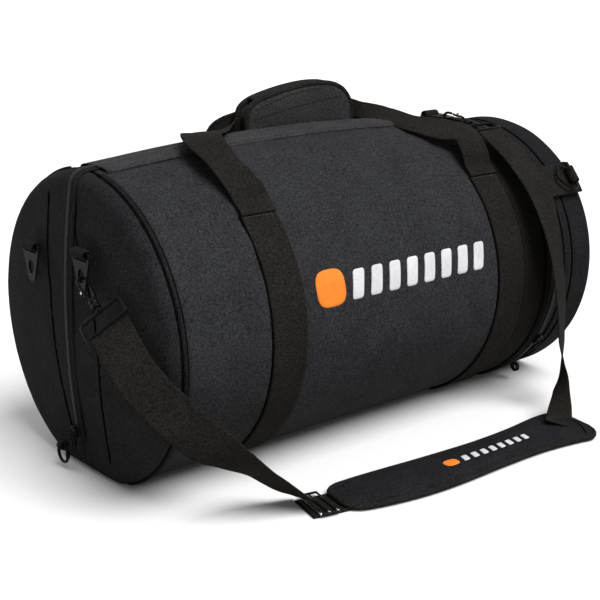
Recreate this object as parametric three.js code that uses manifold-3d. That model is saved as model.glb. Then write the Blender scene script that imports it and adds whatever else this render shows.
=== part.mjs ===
// Padded tube bag for a telescope: a lying cylinder of foam-lined fabric with a long top zip, a zipped
// end lid, two webbing handles in a padded wrap and a shoulder strap with a pad.
// Millimetres, +Z up. X runs along the tube, the domed zip cap is at -X, the end lid at +X, the front
// is -Y. The origin is on the flat underside, below the middle of the tube.
import * as THREE from 'three';
import { mergeVertices } from 'three/addons/utils/BufferGeometryUtils.js';
import Module from 'manifold-3d';

const wasm = await Module();
wasm.setup();

// ---- driving dimensions ----
const R = 190;                 // outer radius of the tube
const AXIS_Z = 180;            // height of the tube's axis above the flat underside
const WEBBING = 50;            // width of the handle and strap webbing
const WEB_T = 2.2;             // thickness of the webbing
const GAP = 0.3;               // gap between pieces that touch
const FABRIC_T = 1.5;          // outer fabric
const FOAM_T = 9;              // foam between fabric and lining
const LINING_T = 1.2;          // inner lining
const X_PIPING = -335;         // seam between the domed cap and the barrel
const PIPING_R = 2.8;          // radius of the seam piping
const X_COLLAR = 226;          // seam between the barrel and the collar
const X_COLLAR_PIPE = 274;     // piping on the collar
const X_LID_PIPE = 312;         // piping on the lid's side wall
const X_LID_ZIP = 292;         // middle of the lid's zip
const X_LID_END = 377;         // outer face of the end lid
const X_LEFT_BAND = -188;      // middle of the left handle band
const X_RIGHT_BAND = 198;      // middle of the right handle band
const DOME_R = 1100;           // radius of the cap's dome
const DOME_EDGE_R = 17;        // rounding between the dome and the barrel
const ROOT_ANGLE = 43;         // handle roots, degrees from the top
const ZIP_W = 24;              // width of the cap's zip tape, both sides together
const TOP_BAND_W = 30;         // zip band on top of the barrel, each side
const GRIP_Z = 404.5;          // middle of the handles' grip
const GRIP_Y = 54;             // front handle's grip lies just behind the top of the bag
const STEP = 10;               // angle between facets round the tube

const deg = (a) => (a * Math.PI) / 180;
const FLAT_ANGLE = 180 - (Math.acos(AXIS_Z / R) * 180) / Math.PI;   // where the round side meets the flat
const part = new THREE.Group();

// ---- materials ----
const finish = (color, roughness, metalness = 0) => ({ color, roughness, metalness });
const CANVAS = finish(0x1d1e20, 0.9);
const COLLAR = finish(0x26231f, 0.9);
const WEB = finish(0x24221f, 0.8);
const ZIPPER = finish(0x3a3b3d, 0.7);
const PIPE = finish(0x151516, 0.7);
const FOAM = finish(0x3a3a3c, 1);
const LINING = finish(0x2c2d30, 0.85);
const METAL = finish(0x0c0c0d, 0.25, 0.9);

function add(name, geometry, look) {
  const mesh = new THREE.Mesh(geometry, new THREE.MeshStandardMaterial(look));
  mesh.name = name;
  part.add(mesh);
  return mesh;
}

// ---- solids from points ----
function fromTriangles(points, triangles) {
  const geometry = new THREE.BufferGeometry();
  const flat = new Float32Array(points.length * 3);
  points.forEach((p, i) => p.toArray(flat, i * 3));
  geometry.setAttribute('position', new THREE.BufferAttribute(flat, 3));
  geometry.setIndex(triangles);
  return volume(geometry) < 0 ? flipped(geometry) : geometry;
}

function volume(geometry) {
  const p = geometry.attributes.position;
  const index = geometry.index.array;
  const [a, b, c] = [new THREE.Vector3(), new THREE.Vector3(), new THREE.Vector3()];
  let sum = 0;
  for (let i = 0; i < index.length; i += 3) {
    a.fromBufferAttribute(p, index[i]);
    b.fromBufferAttribute(p, index[i + 1]);
    c.fromBufferAttribute(p, index[i + 2]);
    sum += a.dot(b.cross(c));
  }
  return sum;
}

function flipped(geometry) {
  const index = geometry.index.array;
  for (let i = 0; i < index.length; i += 3) {
    [index[i + 1], index[i + 2]] = [index[i + 2], index[i + 1]];
  }
  return geometry;
}

// A solid swept through a row of rings, each ring a list of the same number of points.
function sweep(rings, closed = false) {
  const n = rings[0].length;
  const points = rings.flat();
  const triangles = [];
  const spans = closed ? rings.length : rings.length - 1;
  for (let i = 0; i < spans; i++) {
    const a = i * n;
    const b = ((i + 1) % rings.length) * n;
    for (let k = 0; k < n; k++) {
      const next = (k + 1) % n;
      triangles.push(a + k, b + k, b + next, a + k, b + next, a + next);
    }
  }
  if (!closed) {
    const last = (rings.length - 1) * n;
    for (let k = 1; k < n - 1; k++) {
      triangles.push(0, k, k + 1);
      triangles.push(last, last + k + 1, last + k);
    }
  }
  return fromTriangles(points, triangles);
}

// ---- booleans ----
function solid(geometry) {
  const bare = geometry.clone();
  bare.deleteAttribute('normal');
  bare.deleteAttribute('uv');
  const merged = mergeVertices(bare, 1e-4);
  const vertProperties = Float32Array.from(merged.attributes.position.array);
  const triVerts = Uint32Array.from(merged.index.array);
  return new wasm.Manifold(new wasm.Mesh({ numProp: 3, vertProperties, triVerts }));
}

function geometryOf(manifold) {
  const mesh = manifold.getMesh();
  const geometry = new THREE.BufferGeometry();
  geometry.setAttribute('position', new THREE.BufferAttribute(Float32Array.from(mesh.vertProperties), 3));
  geometry.setIndex(Array.from(mesh.triVerts));
  return geometry;
}

const box = (x0, x1, y0, y1, z0, z1) => new THREE.BoxGeometry(x1 - x0, y1 - y0, z1 - z0)
  .translate((x0 + x1) / 2, (y0 + y1) / 2, (z0 + z1) / 2);

const cut = (a, ...tools) => geometryOf(tools.reduce((left, tool) => left.subtract(solid(tool)), solid(a)));
const keep = (a, b) => geometryOf(solid(a).intersect(solid(b)));
const join = (a, ...rest) => geometryOf(rest.reduce((left, piece) => left.add(solid(piece)), solid(a)));

// ---- the tube's surface ----
// Angle 0 is the top, positive towards the back. Depth d is positive outside the outer fabric.
function around(x, angle, d = 0) {
  const t = deg(angle);
  const down = -Math.cos(t);
  const radius = down > 0 ? Math.min(R + d, (AXIS_Z + d) / down) : R + d;
  return new THREE.Vector3(x, radius * Math.sin(t), AXIS_Z + radius * Math.cos(t));
}

// Angles from one to another on the common facets, with the flat's two edges among them.
function anglesBetween(from, to) {
  const list = [from];
  for (let a = Math.ceil(from / STEP) * STEP; a < to; a += STEP) {
    if (a > from + 0.5 && a < to - 0.5) {
      list.push(a);
    }
  }
  for (const edge of [-FLAT_ANGLE, FLAT_ANGLE]) {
    if (edge > from + 0.1 && edge < to - 0.1) {
      list.push(edge);
    }
  }
  list.push(to);
  return list.sort((p, q) => p - q);
}

// A layer of the wall from x0 to x1 and from depth outer to depth inner, part or all of the way round.
function wallLayer(x0, x1, from, to, outer, inner) {
  const whole = to - from > 359.9;
  const angles = anglesBetween(from, to);
  if (whole) {
    angles.pop();
  }
  const rings = angles.map((a) => [
    around(x0, a, outer), around(x1, a, outer), around(x1, a, inner), around(x0, a, inner),
  ]);
  return sweep(rings, whole);
}

// Piping: a round cord that follows the tube, with its centre at depth d.
function pipingArc(x, from, to, d) {
  const sides = 6;
  const rings = anglesBetween(from, to).map((a) => {
    const ring = [];
    for (let k = 0; k < sides; k++) {
      const t = (2 * Math.PI * k) / sides;
      ring.push(around(x + PIPING_R * Math.cos(t), a, d + PIPING_R * Math.sin(t)));
    }
    return ring;
  });
  return sweep(rings);
}

// ---- the cap's dome ----
const X_CAP_RIM = X_PIPING - PIPING_R - GAP;
const EDGE_RING = R - DOME_EDGE_R;
const DOME_CENTRE_X = X_CAP_RIM + Math.sqrt((DOME_R - DOME_EDGE_R) ** 2 - EDGE_RING ** 2);
const DOME_TILT = Math.asin(EDGE_RING / (DOME_R - DOME_EDGE_R));

// Profile of the dome from its rim to its middle as [x, radius] at depth d.
function domeProfile(d) {
  const profile = [];
  const edgeSteps = 4;
  for (let i = 0; i <= edgeSteps; i++) {
    const t = ((Math.PI / 2 - DOME_TILT) * i) / edgeSteps;
    const reach = DOME_EDGE_R + d;
    profile.push([X_CAP_RIM - reach * Math.sin(t), EDGE_RING + reach * Math.cos(t)]);
  }
  const domeSteps = 4;
  for (let i = 1; i <= domeSteps; i++) {
    const t = DOME_TILT * (1 - i / domeSteps);
    const reach = DOME_R + d;
    profile.push([DOME_CENTRE_X - reach * Math.cos(t), reach * Math.sin(t)]);
  }
  return profile;
}

function domePoint(x, radius, angle, d) {
  const edge = around(0, angle, d);
  const scale = radius / (R + d);
  return new THREE.Vector3(x, edge.y * scale, AXIS_Z + (edge.z - AXIS_Z) * scale);
}

function domeLayer(profileOf, outer, inner) {
  const angles = anglesBetween(-180, 180).slice(0, -1);
  const n = angles.length;
  const points = [];
  const triangles = [];
  const surface = (d) => {
    const first = points.length;
    const profile = profileOf(d);
    for (const [x, radius] of profile.slice(0, -1)) {
      angles.forEach((a) => points.push(domePoint(x, radius, a, d)));
    }
    points.push(new THREE.Vector3(profile.at(-1)[0], 0, AXIS_Z));
    return { first, rows: profile.length - 1, tip: points.length - 1 };
  };
  const skin = ({ first, rows, tip }, outward) => {
    const face = (a, b, c) => triangles.push(...(outward ? [a, b, c] : [a, c, b]));
    for (let i = 0; i < rows; i++) {
      for (let k = 0; k < n; k++) {
        const next = (k + 1) % n;
        const a = first + i * n;
        if (i === rows - 1) {
          face(a + k, a + next, tip);
        } else {
          face(a + k, a + next, a + n + next);
          face(a + k, a + n + next, a + n + k);
        }
      }
    }
  };
  const out = surface(outer);
  const back = surface(inner);
  skin(out, true);
  skin(back, false);
  for (let k = 0; k < n; k++) {
    const next = (k + 1) % n;
    triangles.push(out.first + next, out.first + k, back.first + k);
    triangles.push(out.first + next, back.first + k, back.first + next);
  }
  return fromTriangles(points, triangles);
}

// ---- webbing ----
// A flat strap through a list of stations: where it is, and which way its width runs.
function strap(stations, width = WEBBING, thickness = WEB_T, steps = 4) {
  const places = stations.map((s) => new THREE.Vector3(...s.at));
  const centres = new THREE.CatmullRomCurve3(places, false, 'centripetal');
  const widths = stations.map((s) => new THREE.Vector3(...s.across).normalize());
  const count = (stations.length - 1) * steps;
  const rings = [];
  for (let i = 0; i <= count; i++) {
    const t = i / count;
    const k = Math.min(Math.floor(i / steps), stations.length - 2);
    const across = widths[k].clone().lerp(widths[k + 1], i / steps - k);
    const along = centres.getTangent(t);
    across.addScaledVector(along, -across.dot(along)).normalize();
    const out = along.clone().cross(across);
    const at = centres.getPoint(t);
    const corner = (w, h) => at.clone()
      .addScaledVector(across, (w * width) / 2).addScaledVector(out, (h * thickness) / 2);
    rings.push([corner(-1, -1), corner(1, -1), corner(1, 1), corner(-1, 1)]);
  }
  return sweep(rings);
}

// A round bar bent along a list of points.
function bar(points, radius, closed = false, sides = 8) {
  const curve = new THREE.CatmullRomCurve3(points.map((p) => new THREE.Vector3(...p)), closed, 'centripetal');
  const section = new THREE.Shape();
  section.absarc(0, 0, radius, 0, 2 * Math.PI, false);
  return new THREE.ExtrudeGeometry(section, {
    steps: points.length * 3, extrudePath: curve, curveSegments: sides / 2,
  });
}

// A plate cut from a 2D outline with holes, standing across X: outline x is Y, outline y is Z.
function plate(outline, holes, thickness) {
  const shape = new THREE.Shape(outline.map(([y, z]) => new THREE.Vector2(y, z)));
  for (const hole of holes) {
    shape.holes.push(hole);
  }
  const geometry = new THREE.ExtrudeGeometry(shape, { depth: thickness, bevelEnabled: false, curveSegments: 8 });
  geometry.translate(0, 0, -thickness / 2);
  return geometry.applyMatrix4(new THREE.Matrix4().makeBasis(
    new THREE.Vector3(0, 1, 0), new THREE.Vector3(0, 0, 1), new THREE.Vector3(1, 0, 0)));
}

function ellipseHole(cx, cy, rx, ry) {
  const points = [];
  for (let i = 0; i < 12; i++) {
    const t = (-2 * Math.PI * i) / 12;
    points.push(new THREE.Vector2(cx + rx * Math.cos(t), cy + ry * Math.sin(t)));
  }
  return new THREE.Path(points);
}

function slotHole(x0, x1, y0, y1) {
  return new THREE.Path([
    new THREE.Vector2(x0, y0), new THREE.Vector2(x0, y1), new THREE.Vector2(x1, y1), new THREE.Vector2(x1, y0),
  ]);
}

// ---- the wall: outer fabric, foam and lining, each a shell of its own ----
const LAYERS = [
  ['shell', 0, -FABRIC_T, CANVAS],
  ['foam', -FABRIC_T - GAP, -FABRIC_T - GAP - FOAM_T, FOAM],
  ['lining', -FABRIC_T - FOAM_T - 2 * GAP, -FABRIC_T - FOAM_T - 2 * GAP - LINING_T, LINING],
];
const SPLIT = 0.15;                       // half the slit under the top zip, in degrees
const X_BARREL = X_PIPING + PIPING_R + GAP;

const FRONT_SIDE = box(-400, -300, -200, -GAP, -10, 400);
const BACK_SIDE = box(-400, -300, GAP, 200, -10, 400);

for (const [layer, outer, inner, look] of LAYERS) {
  const lining = layer === 'lining';
  const dome = domeLayer(domeProfile, outer, inner);
  const front = wallLayer(X_BARREL, X_COLLAR, FLAT_ANGLE - 360, -SPLIT, outer, inner);
  const back = wallLayer(X_BARREL, X_COLLAR, SPLIT, FLAT_ANGLE - 0.2, outer, inner);
  const collar = wallLayer(lining ? X_COLLAR + GAP : X_COLLAR + 2 * GAP, X_LID_ZIP - GAP, -180, 180, outer, inner);
  const capFront = keep(dome, FRONT_SIDE);
  const capBack = keep(dome, BACK_SIDE);
  if (lining) {
    const bridge = (from, to) => wallLayer(X_CAP_RIM - 0.5, X_BARREL + 0.5, from, to, outer, inner);
    add('lining_front', join(front, capFront, bridge(-179.7, -SPLIT)), look);
    add('lining_back', join(back, capBack, bridge(SPLIT, FLAT_ANGLE - 0.2)), look);
    add('lining_collar', collar, look);
  } else {
    add(`barrel_front_${layer}`, front, look);
    add(`barrel_back_${layer}`, back, look);
    add(`collar_${layer}`, collar, layer === 'shell' ? COLLAR : look);
    add(`cap_front_${layer}`, capFront, look);
    add(`cap_back_${layer}`, capBack, look);
  }
  add(`lid_${layer}`, domeLayer(lidProfile, outer, inner), look);
}

// The end lid's profile from its rim to its middle as [x, radius] at depth d.
function lidProfile(d) {
  const corner = Math.max(12 + d, 0.6);
  const side = R + d;
  const end = X_LID_END + d;
  const profile = [[X_LID_ZIP + GAP, side]];
  for (let i = 0; i <= 3; i++) {
    const t = (Math.PI / 2) * (i / 3);
    profile.push([end - corner + corner * Math.sin(t), side - corner + corner * Math.cos(t)]);
  }
  profile.push([end, side * 0.5], [end, 0]);
  return profile;
}

// ---- piping and zips round the tube ----
const ROUND_EDGE = FLAT_ANGLE - 2;        // pieces on the outside stop short of the flat underside
add('cap_piping_front', pipingArc(X_PIPING, -ROUND_EDGE, -7, -0.5), PIPE);
add('cap_piping_back', pipingArc(X_PIPING, 7, ROUND_EDGE, -0.5), PIPE);
add('collar_piping', pipingArc(X_COLLAR_PIPE, -ROUND_EDGE, ROUND_EDGE, PIPING_R + 0.6), PIPE);

const ZIP_TAPE = 11;
const COIL_W = 2.2;
function lidZipSide(edge, away) {
  const profile = [
    [edge, 0.5], [edge, 3.4], [edge + away * COIL_W, 3.4], [edge + away * COIL_W, 1.5],
    [edge + away * ZIP_TAPE, 1.5], [edge + away * ZIP_TAPE, 0.5],
  ];
  return sweep(anglesBetween(-ROUND_EDGE, ROUND_EDGE).map((a) => profile.map(([x, d]) => around(x, a, d))));
}
add('lid_zip_tape_collar_side', lidZipSide(X_LID_ZIP - GAP, -1), ZIPPER);
add('lid_zip_tape_lid_side', lidZipSide(X_LID_ZIP + GAP, 1), ZIPPER);
add('lid_piping', pipingArc(X_LID_PIPE, -ROUND_EDGE, ROUND_EDGE, PIPING_R + 0.6), PIPE);

// ---- the main zip: along the top, over the edge and down the dome ----
const ZIP_END_RADIUS = 140;               // how far below the axis the zip ends on the cap
function zipPath(d) {
  const top = [[X_COLLAR - 4, AXIS_Z + R + d]];
  const profile = domeProfile(d);
  const upper = profile.map(([x, radius]) => [x, AXIS_Z + radius]);
  const lower = profile.slice(0, -1).reverse()
    .map(([x, radius]) => [x, domePoint(x, radius, 180, d).z])
    .filter(([, z]) => z > AXIS_Z - ZIP_END_RADIUS);
  return [...top, ...upper, ...lower];
}
function zipStrip(y0, y1, inner, outer) {
  const outline = [...zipPath(outer), ...zipPath(inner).reverse()];
  const shape = new THREE.Shape(outline.map(([x, z]) => new THREE.Vector2(x, z)));
  const geometry = new THREE.ExtrudeGeometry(shape, { depth: y1 - y0, bevelEnabled: false });
  return geometry.applyMatrix4(new THREE.Matrix4().makeBasis(
    new THREE.Vector3(1, 0, 0), new THREE.Vector3(0, 0, 1), new THREE.Vector3(0, -1, 0))).translate(0, y1, 0);
}
for (const [side, sign] of [['front', -1], ['back', 1]]) {
  const span = (near, far) => [near * sign, far * sign].sort((p, q) => p - q);
  const tape = zipStrip(...span(GAP, ZIP_W / 2), 0.7, 1.7);
  const coil = zipStrip(...span(GAP, COIL_W), 1.2, 3.4);
  add(`main_zip_tape_${side}`, join(tape, coil), ZIPPER);
  const edges = span(1, (TOP_BAND_W / R) * (180 / Math.PI));
  add(`top_band_${side}`, wallLayer(X_BARREL + 8, X_COLLAR - 4, ...edges, 3.8, 2.7), ZIPPER);
}

// ---- handle bands sewn round the barrel, and the handles ----
const BAND_D = 0.6;
for (const [place, x] of [['left', X_LEFT_BAND], ['right', X_RIGHT_BAND]]) {
  for (const [side, sign] of [['front', -1], ['back', 1]]) {
    const ends = [ROOT_ANGLE * sign, ROUND_EDGE * sign].sort((p, q) => p - q);
    const band = wallLayer(x - WEBBING / 2, x + WEBBING / 2, ...ends, BAND_D + WEB_T, BAND_D);
    add(`${place}_band_${side}`, band, WEB);
  }
}
const PIVOT = around(0, -(ROOT_ANGLE - 1.6), BAND_D + WEB_T / 2 + 2);
// A handle's end on its band, and a point just above it, along the tube's surface, that keeps the end square.
const root = (x, sign, across = [1, 0, 0]) => ({ at: [x, sign * Math.abs(PIVOT.y), PIVOT.z], across });
const stem = (x, sign, across = [1, 0, 0]) => ({ at: [x, sign * (Math.abs(PIVOT.y) - 6), PIVOT.z + 5.3], across });
const WRAP_X0 = -68;
const WRAP_X1 = 116;
add('front_handle', strap([
  root(X_LEFT_BAND, -1),
  stem(X_LEFT_BAND, -1),
  { at: [-194, -112, 350], across: [1, 0, 0] },
  { at: [-203, -84, 378], across: [1, 0.1, 0] },
  { at: [-202, -50, 395], across: [0.95, -0.3, 0] },
  { at: [-185, -18, 399], across: [0.8, -0.6, 0] },
  { at: [-158, 10, 399], across: [0.7, -0.68, 0.15] },
  { at: [-126, 34, 398], across: [0.55, -0.65, 0.45] },
  { at: [-96, 50, 402], across: [0.15, -0.25, 1] },
  ...[WRAP_X0 - 2, WRAP_X0 + 20, 24, WRAP_X1 - 20, WRAP_X1 + 2].map(
    (x) => ({ at: [x, GRIP_Y, GRIP_Z], across: [0, 0, 1] })),
  { at: [130, 34, 399], across: [0.35, 0.4, 0.85] },
  { at: [139, 2, 391], across: [0.6, 0.65, 0.42] },
  { at: [146, -38, 383], across: [0.55, 0.75, 0.38] },
  { at: [170, -74, 379], across: [0.7, 0.55, 0.4] },
  { at: [194, -98, 373], across: [1, 0.1, 0.1] },
  { at: [197, -116, 350], across: [1, 0, 0] },
  stem(X_RIGHT_BAND, -1),
  root(X_RIGHT_BAND, -1),
]), WEB);
const BACK_GRIP_Y = 73;
add('back_handle', strap([
  root(X_LEFT_BAND, 1),
  stem(X_LEFT_BAND, 1),
  { at: [-187, 106, 347], across: [1, 0.1, 0] },
  { at: [-171, 90, 368], across: [0.8, 0.4, 0.3] },
  { at: [-142, 78, 388], across: [0.5, 0.4, 0.75] },
  { at: [-112, BACK_GRIP_Y + 1, 400], across: [0, 0.1, 1] },
  { at: [-80, BACK_GRIP_Y, GRIP_Z], across: [0, 0, 1] },
  { at: [126, BACK_GRIP_Y, GRIP_Z], across: [0, 0, 1] },
  { at: [156, BACK_GRIP_Y + 3, 400], across: [-0.1, 0.2, 1] },
  { at: [182, 84, 386], across: [-0.6, 0.4, 0.7] },
  { at: [197, 96, 364], across: [-0.95, 0.3, 0.2] },
  { at: [198, 110, 345], across: [-1, 0.05, 0] },
  stem(X_RIGHT_BAND, 1, [-1, 0, 0]),
  root(X_RIGHT_BAND, 1, [-1, 0, 0]),
]), WEB);

// The padded wrap folds over the front handle: a back leaf with the top, and a front flap.
const WRAP_BOTTOM = 379;
const WRAP_TOP = 439;
const LEAF = 9;                           // thickness of each padded leaf
const FLAP_BOTTOM = WRAP_BOTTOM + 3.5;    // the front flap clears the top zip as it opens
function wrapLeaf(outline) {
  const shape = new THREE.Shape();
  shape.moveTo(...outline[0]);
  for (const step of outline.slice(1)) {
    if (step.length === 2) {
      shape.lineTo(...step);
    } else {
      shape.quadraticCurveTo(...step);
    }
  }
  const depth = WRAP_X1 - WRAP_X0;
  const geometry = new THREE.ExtrudeGeometry(shape, { depth, bevelEnabled: false, curveSegments: 5 });
  return geometry.applyMatrix4(new THREE.Matrix4().makeBasis(
    new THREE.Vector3(0, 1, 0), new THREE.Vector3(0, 0, 1), new THREE.Vector3(1, 0, 0))).translate(WRAP_X0, 0, 0);
}
const WRAP_BACK = GRIP_Y + 5 + LEAF;
const WRAP_FRONT = GRIP_Y - 5 - LEAF;
add('wrap_back', wrapLeaf([
  [WRAP_BACK - LEAF, WRAP_BOTTOM], [WRAP_BACK, WRAP_BOTTOM], [WRAP_BACK, WRAP_TOP - 10],
  [WRAP_BACK, WRAP_TOP, WRAP_BACK - 10, WRAP_TOP], [WRAP_FRONT + LEAF + GAP, WRAP_TOP],
  [WRAP_FRONT + LEAF + GAP, WRAP_TOP - 8], [WRAP_BACK - LEAF, WRAP_TOP - 8],
]), CANVAS);
add('wrap_flap', wrapLeaf([
  [WRAP_FRONT, FLAP_BOTTOM], [WRAP_FRONT + LEAF - GAP, FLAP_BOTTOM], [WRAP_FRONT + LEAF - GAP, WRAP_TOP],
  [WRAP_FRONT, WRAP_TOP, WRAP_FRONT, WRAP_TOP - 10],
]), CANVAS);

// ---- lug, its webbing loop, and the snap hook with its strap ring ----
// Built hanging: X points away from the bag, Z up, the loop's middle at the origin.
function lugPlate() {
  const tip = [];
  for (let i = 0; i <= 6; i++) {
    const t = Math.PI * (1 + i / 6);
    tip.push([8 * Math.cos(t), -36 + 8 * Math.sin(t)]);
  }
  const outline = [[-18, 2], [-18, -7], ...tip, [18, -7], [18, 2]];
  return plate(outline, [slotHole(-14.5, 14.5, -8.2, -1.5), ellipseHole(0, -26, 7, 9)], 2.5);
}
function webbingLoop(width) {
  const shape = new THREE.Shape();
  shape.absellipse(0, 0, 7, 6.2, 0, 2 * Math.PI, false, 0);
  shape.holes.push(slotHole(-3.5, 3.5, -3.6, 3.6));
  const geometry = new THREE.ExtrudeGeometry(shape, { depth: width, bevelEnabled: false, curveSegments: 7 });
  return geometry.translate(0, 0, -width / 2).applyMatrix4(new THREE.Matrix4().makeBasis(
    new THREE.Vector3(1, 0, 0), new THREE.Vector3(0, 0, 1), new THREE.Vector3(0, -1, 0)));
}
const turned = (z0, z1, radius, x = 0) => new THREE.CylinderGeometry(radius, radius, z1 - z0, 12)
  .rotateX(Math.PI / 2).translate(x, 0, (z0 + z1) / 2);
const HOOK_X = 1.5;
function snapHook() {
  const wire = bar([
    [HOOK_X, 0, -40], [-3.4, 0, -33], [-4.6, 0, -21], [-4.4, 0, -7], [-1.5, 0, -0.6],
    [3.5, 0, -0.8], [7.6, 0, -6], [8, 0, -14],
  ], 1.8);
  return join(wire, turned(-53, -38.5, 5.5, HOOK_X));
}
function snapGate() {
  return bar([[7.8, 0, -16.8], [7, 0, -24], [8, 0, -34]], 1.5);
}
function strapRing() {
  const half = WEBBING / 2 + 3;
  const [top, bottom] = [-60, -84];
  const side = half - 4;
  const loop = bar([
    [HOOK_X, -side, top], [HOOK_X, 0, top], [HOOK_X, side, top], [HOOK_X, half, top - 4],
    [HOOK_X, half, bottom + 4], [HOOK_X, side, bottom], [HOOK_X, 0, bottom], [HOOK_X, -side, bottom],
    [HOOK_X, -half, bottom + 4], [HOOK_X, -half, top - 4],
  ], 2, true);
  return join(loop, turned(-61, -53.3, 3, HOOK_X));
}

// Places a hanging assembly: at = the loop's middle, out = away from the bag, up = from eye to loop.
function frameAt(at, out, up) {
  const z = new THREE.Vector3(...up).normalize();
  const x = new THREE.Vector3(...out);
  x.addScaledVector(z, -x.dot(z)).normalize();
  const y = z.clone().cross(x);
  return new THREE.Matrix4().makeBasis(x, y, z).setPosition(...at);
}
const EYE_Z = -28.6;                      // where the hook rests in the eye
function hookFrame(lug, sideways, droop, turn = 0) {
  const tilt = new THREE.Matrix4().makeRotationFromEuler(new THREE.Euler(deg(sideways), deg(droop), deg(turn), 'XYZ'));
  return lug.clone().multiply(new THREE.Matrix4().makeTranslation(0, 0, EYE_Z)).multiply(tilt);
}
const frontLug = frameAt([-374, -46, 286], [-1, 0, 0], [0, 0, 1]);
const backLug = frameAt([-374, 71, 274], [-1, 0, 0], [0, 0, 1]);
const topLug = frameAt([256, 26, 380], [0, 0, 1], [0, 1, 0]);
for (const [name, lug] of [['front', frontLug], ['back', backLug], ['top', topLug]]) {
  add(`${name}_lug_loop`, webbingLoop(26).applyMatrix4(lug), WEB);
  add(`${name}_lug_plate`, lugPlate().applyMatrix4(lug), METAL);
}
const leftHook = hookFrame(frontLug, 64, -9);
const leftRing = hookFrame(frontLug, 64, -9, 42);
const rightHook = hookFrame(topLug, 0, 7);
for (const [side, hook, ring] of [['left', leftHook, leftRing], ['right', rightHook, rightHook]]) {
  add(`${side}_snap_hook`, snapHook().applyMatrix4(hook), METAL);
  add(`${side}_snap_gate`, snapGate().applyMatrix4(hook), METAL);
  add(`${side}_strap_ring`, strapRing().applyMatrix4(ring), METAL);
}

// ---- shoulder strap, adjuster and pad ----
const ringBar = (frame) => new THREE.Vector3(HOOK_X, 0, -89).applyMatrix4(frame).toArray();
const ringAcross = (frame) => new THREE.Vector3(0, 1, 0).transformDirection(frame).toArray();
const STRAP_Z = 1.6;                      // webbing lying on the ground
add('shoulder_strap_left', strap([
  { at: ringBar(leftRing), across: ringAcross(leftRing) },
  { at: [-384, -168, 176], across: [0.68, -0.36, 0.62] },
  { at: [-363, -204, 137], across: [0.62, -0.3, 0.7] },
  { at: [-332, -220, 102], across: [0.5, -0.4, 0.8] },
  { at: [-300, -228, 76], across: [0.45, -0.8, 0.4] },
  { at: [-266, -236, 50], across: [0.4, -0.9, 0] },
  { at: [-232, -245, 22], across: [0.3, -0.95, 0] },
  { at: [-214, -250, 11], across: [0.25, -0.97, 0] },
]), WEB);

// The pad lies on the ground in a shallow curve; the strap runs under it and up through its far slot.
const PAD_LINE = [
  [-184, -264, -0.2], [-140, -273, -0.15], [-60, -284, -0.05], [40, -287, 0], [130, -286, 0.1], [216, -298, 0.25],
];
const PAD_T = 11;
const PAD_W = 74;
const onGround = (z) => PAD_LINE.map(([x, y, lean]) => ({ at: [x, y, z], across: [lean, 1, 0] }));
add('shoulder_pad', strap(onGround(STRAP_Z + WEB_T / 2 + GAP + PAD_T / 2 + 0.4), PAD_W, PAD_T, 3), CANVAS);
add('shoulder_strap_middle', strap([
  { at: [-222, -255, STRAP_Z], across: [-0.25, 0.97, 0] },
  ...onGround(STRAP_Z),
], WEBBING, WEB_T, 2), WEB);
add('shoulder_strap_right', strap([
  { at: ringBar(rightHook), across: [1, 0, 0] },
  { at: [258, -144, 334], across: [1, 0.05, 0] },
  { at: [258, -186, 290], across: [0.98, 0.15, 0.05] },
  { at: [261, -208, 222], across: [0.92, 0.38, 0] },
  { at: [270, -214, 149], across: [0.9, 0.44, 0] },
  { at: [270, -222, 92], across: [0.8, 0.6, 0] },
  { at: [258, -238, 57], across: [0.4, 0.65, -0.65] },
  { at: [232, -258, 39], across: [0, 0.9, -0.4] },
  { at: [202, -281, 26], across: [-0.45, 0.87, -0.2] },
  { at: [176, -299, 17.5], across: [-0.57, 0.82, 0] },
]), WEB);

// The adjuster slides on the strap just before the pad.
const ADJUSTER = { width: 60, length: 26, thickness: 2.6, slot: 7 };
function adjusterPlate() {
  const { width, length, thickness, slot } = ADJUSTER;
  const inner = width / 2 - 4;
  const frame = box(-length / 2, length / 2, -width / 2, width / 2, 0, thickness);
  return cut(frame, box(-2 - slot, -2, -inner, inner, -1, thickness + 1),
    box(2, 2 + slot, -inner, inner, -1, thickness + 1));
}
add('strap_adjuster', adjusterPlate().rotateZ(deg(-13)).translate(-203, -259, STRAP_Z + WEB_T / 2 + GAP + 0.3), METAL);

// ---- zip sliders ----
// Built flat: X points out of the zip's surface, Z runs along the zip, the coil's face is at x = 0.
function zipSlider() {
  const ear = (y) => box(4, 9, y - 1.1, y + 1.1, -1, 5);
  return join(box(0.5, 4.5, -5.5, 5.5, -7, 7), ear(-4.4), ear(4.4));
}
function zipPull(length, pinLength) {
  const pin = new THREE.CylinderGeometry(1, 1, pinLength, 8).translate(7, 0, 2);
  return join(pin, box(6, 8, -2.6, 2.6, 2 - length, 2));
}
function domeZipFrame(z) {
  const radius = AXIS_Z - z;
  const t = Math.asin(radius / DOME_R);
  const reach = DOME_R + 3.4;
  const at = [DOME_CENTRE_X - reach * Math.cos(t), 0, AXIS_Z - reach * Math.sin(t)];
  return frameAt(at, [-Math.cos(t), 0, -Math.sin(t)], [-Math.sin(t), 0, Math.cos(t)]);
}
const mainSlider = domeZipFrame(56);
add('main_zip_slider', zipSlider().applyMatrix4(mainSlider), METAL);
add('main_zip_pull', zipPull(30, 5.8).applyMatrix4(mainSlider), METAL);

function lidZipFrame(angle) {
  const at = around(X_LID_ZIP, angle, 3.4);
  const out = [0, Math.sin(deg(angle)), Math.cos(deg(angle))];
  const along = [0, Math.cos(deg(angle)), -Math.sin(deg(angle))];
  return frameAt(at.toArray(), out, along);
}
for (const [name, angle] of [['upper', -41], ['lower', -122]]) {
  const whole = join(zipSlider(), zipPull(15, 8));
  add(`lid_zip_slider_${name}`, whole.applyMatrix4(lidZipFrame(angle)), METAL);
}

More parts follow.
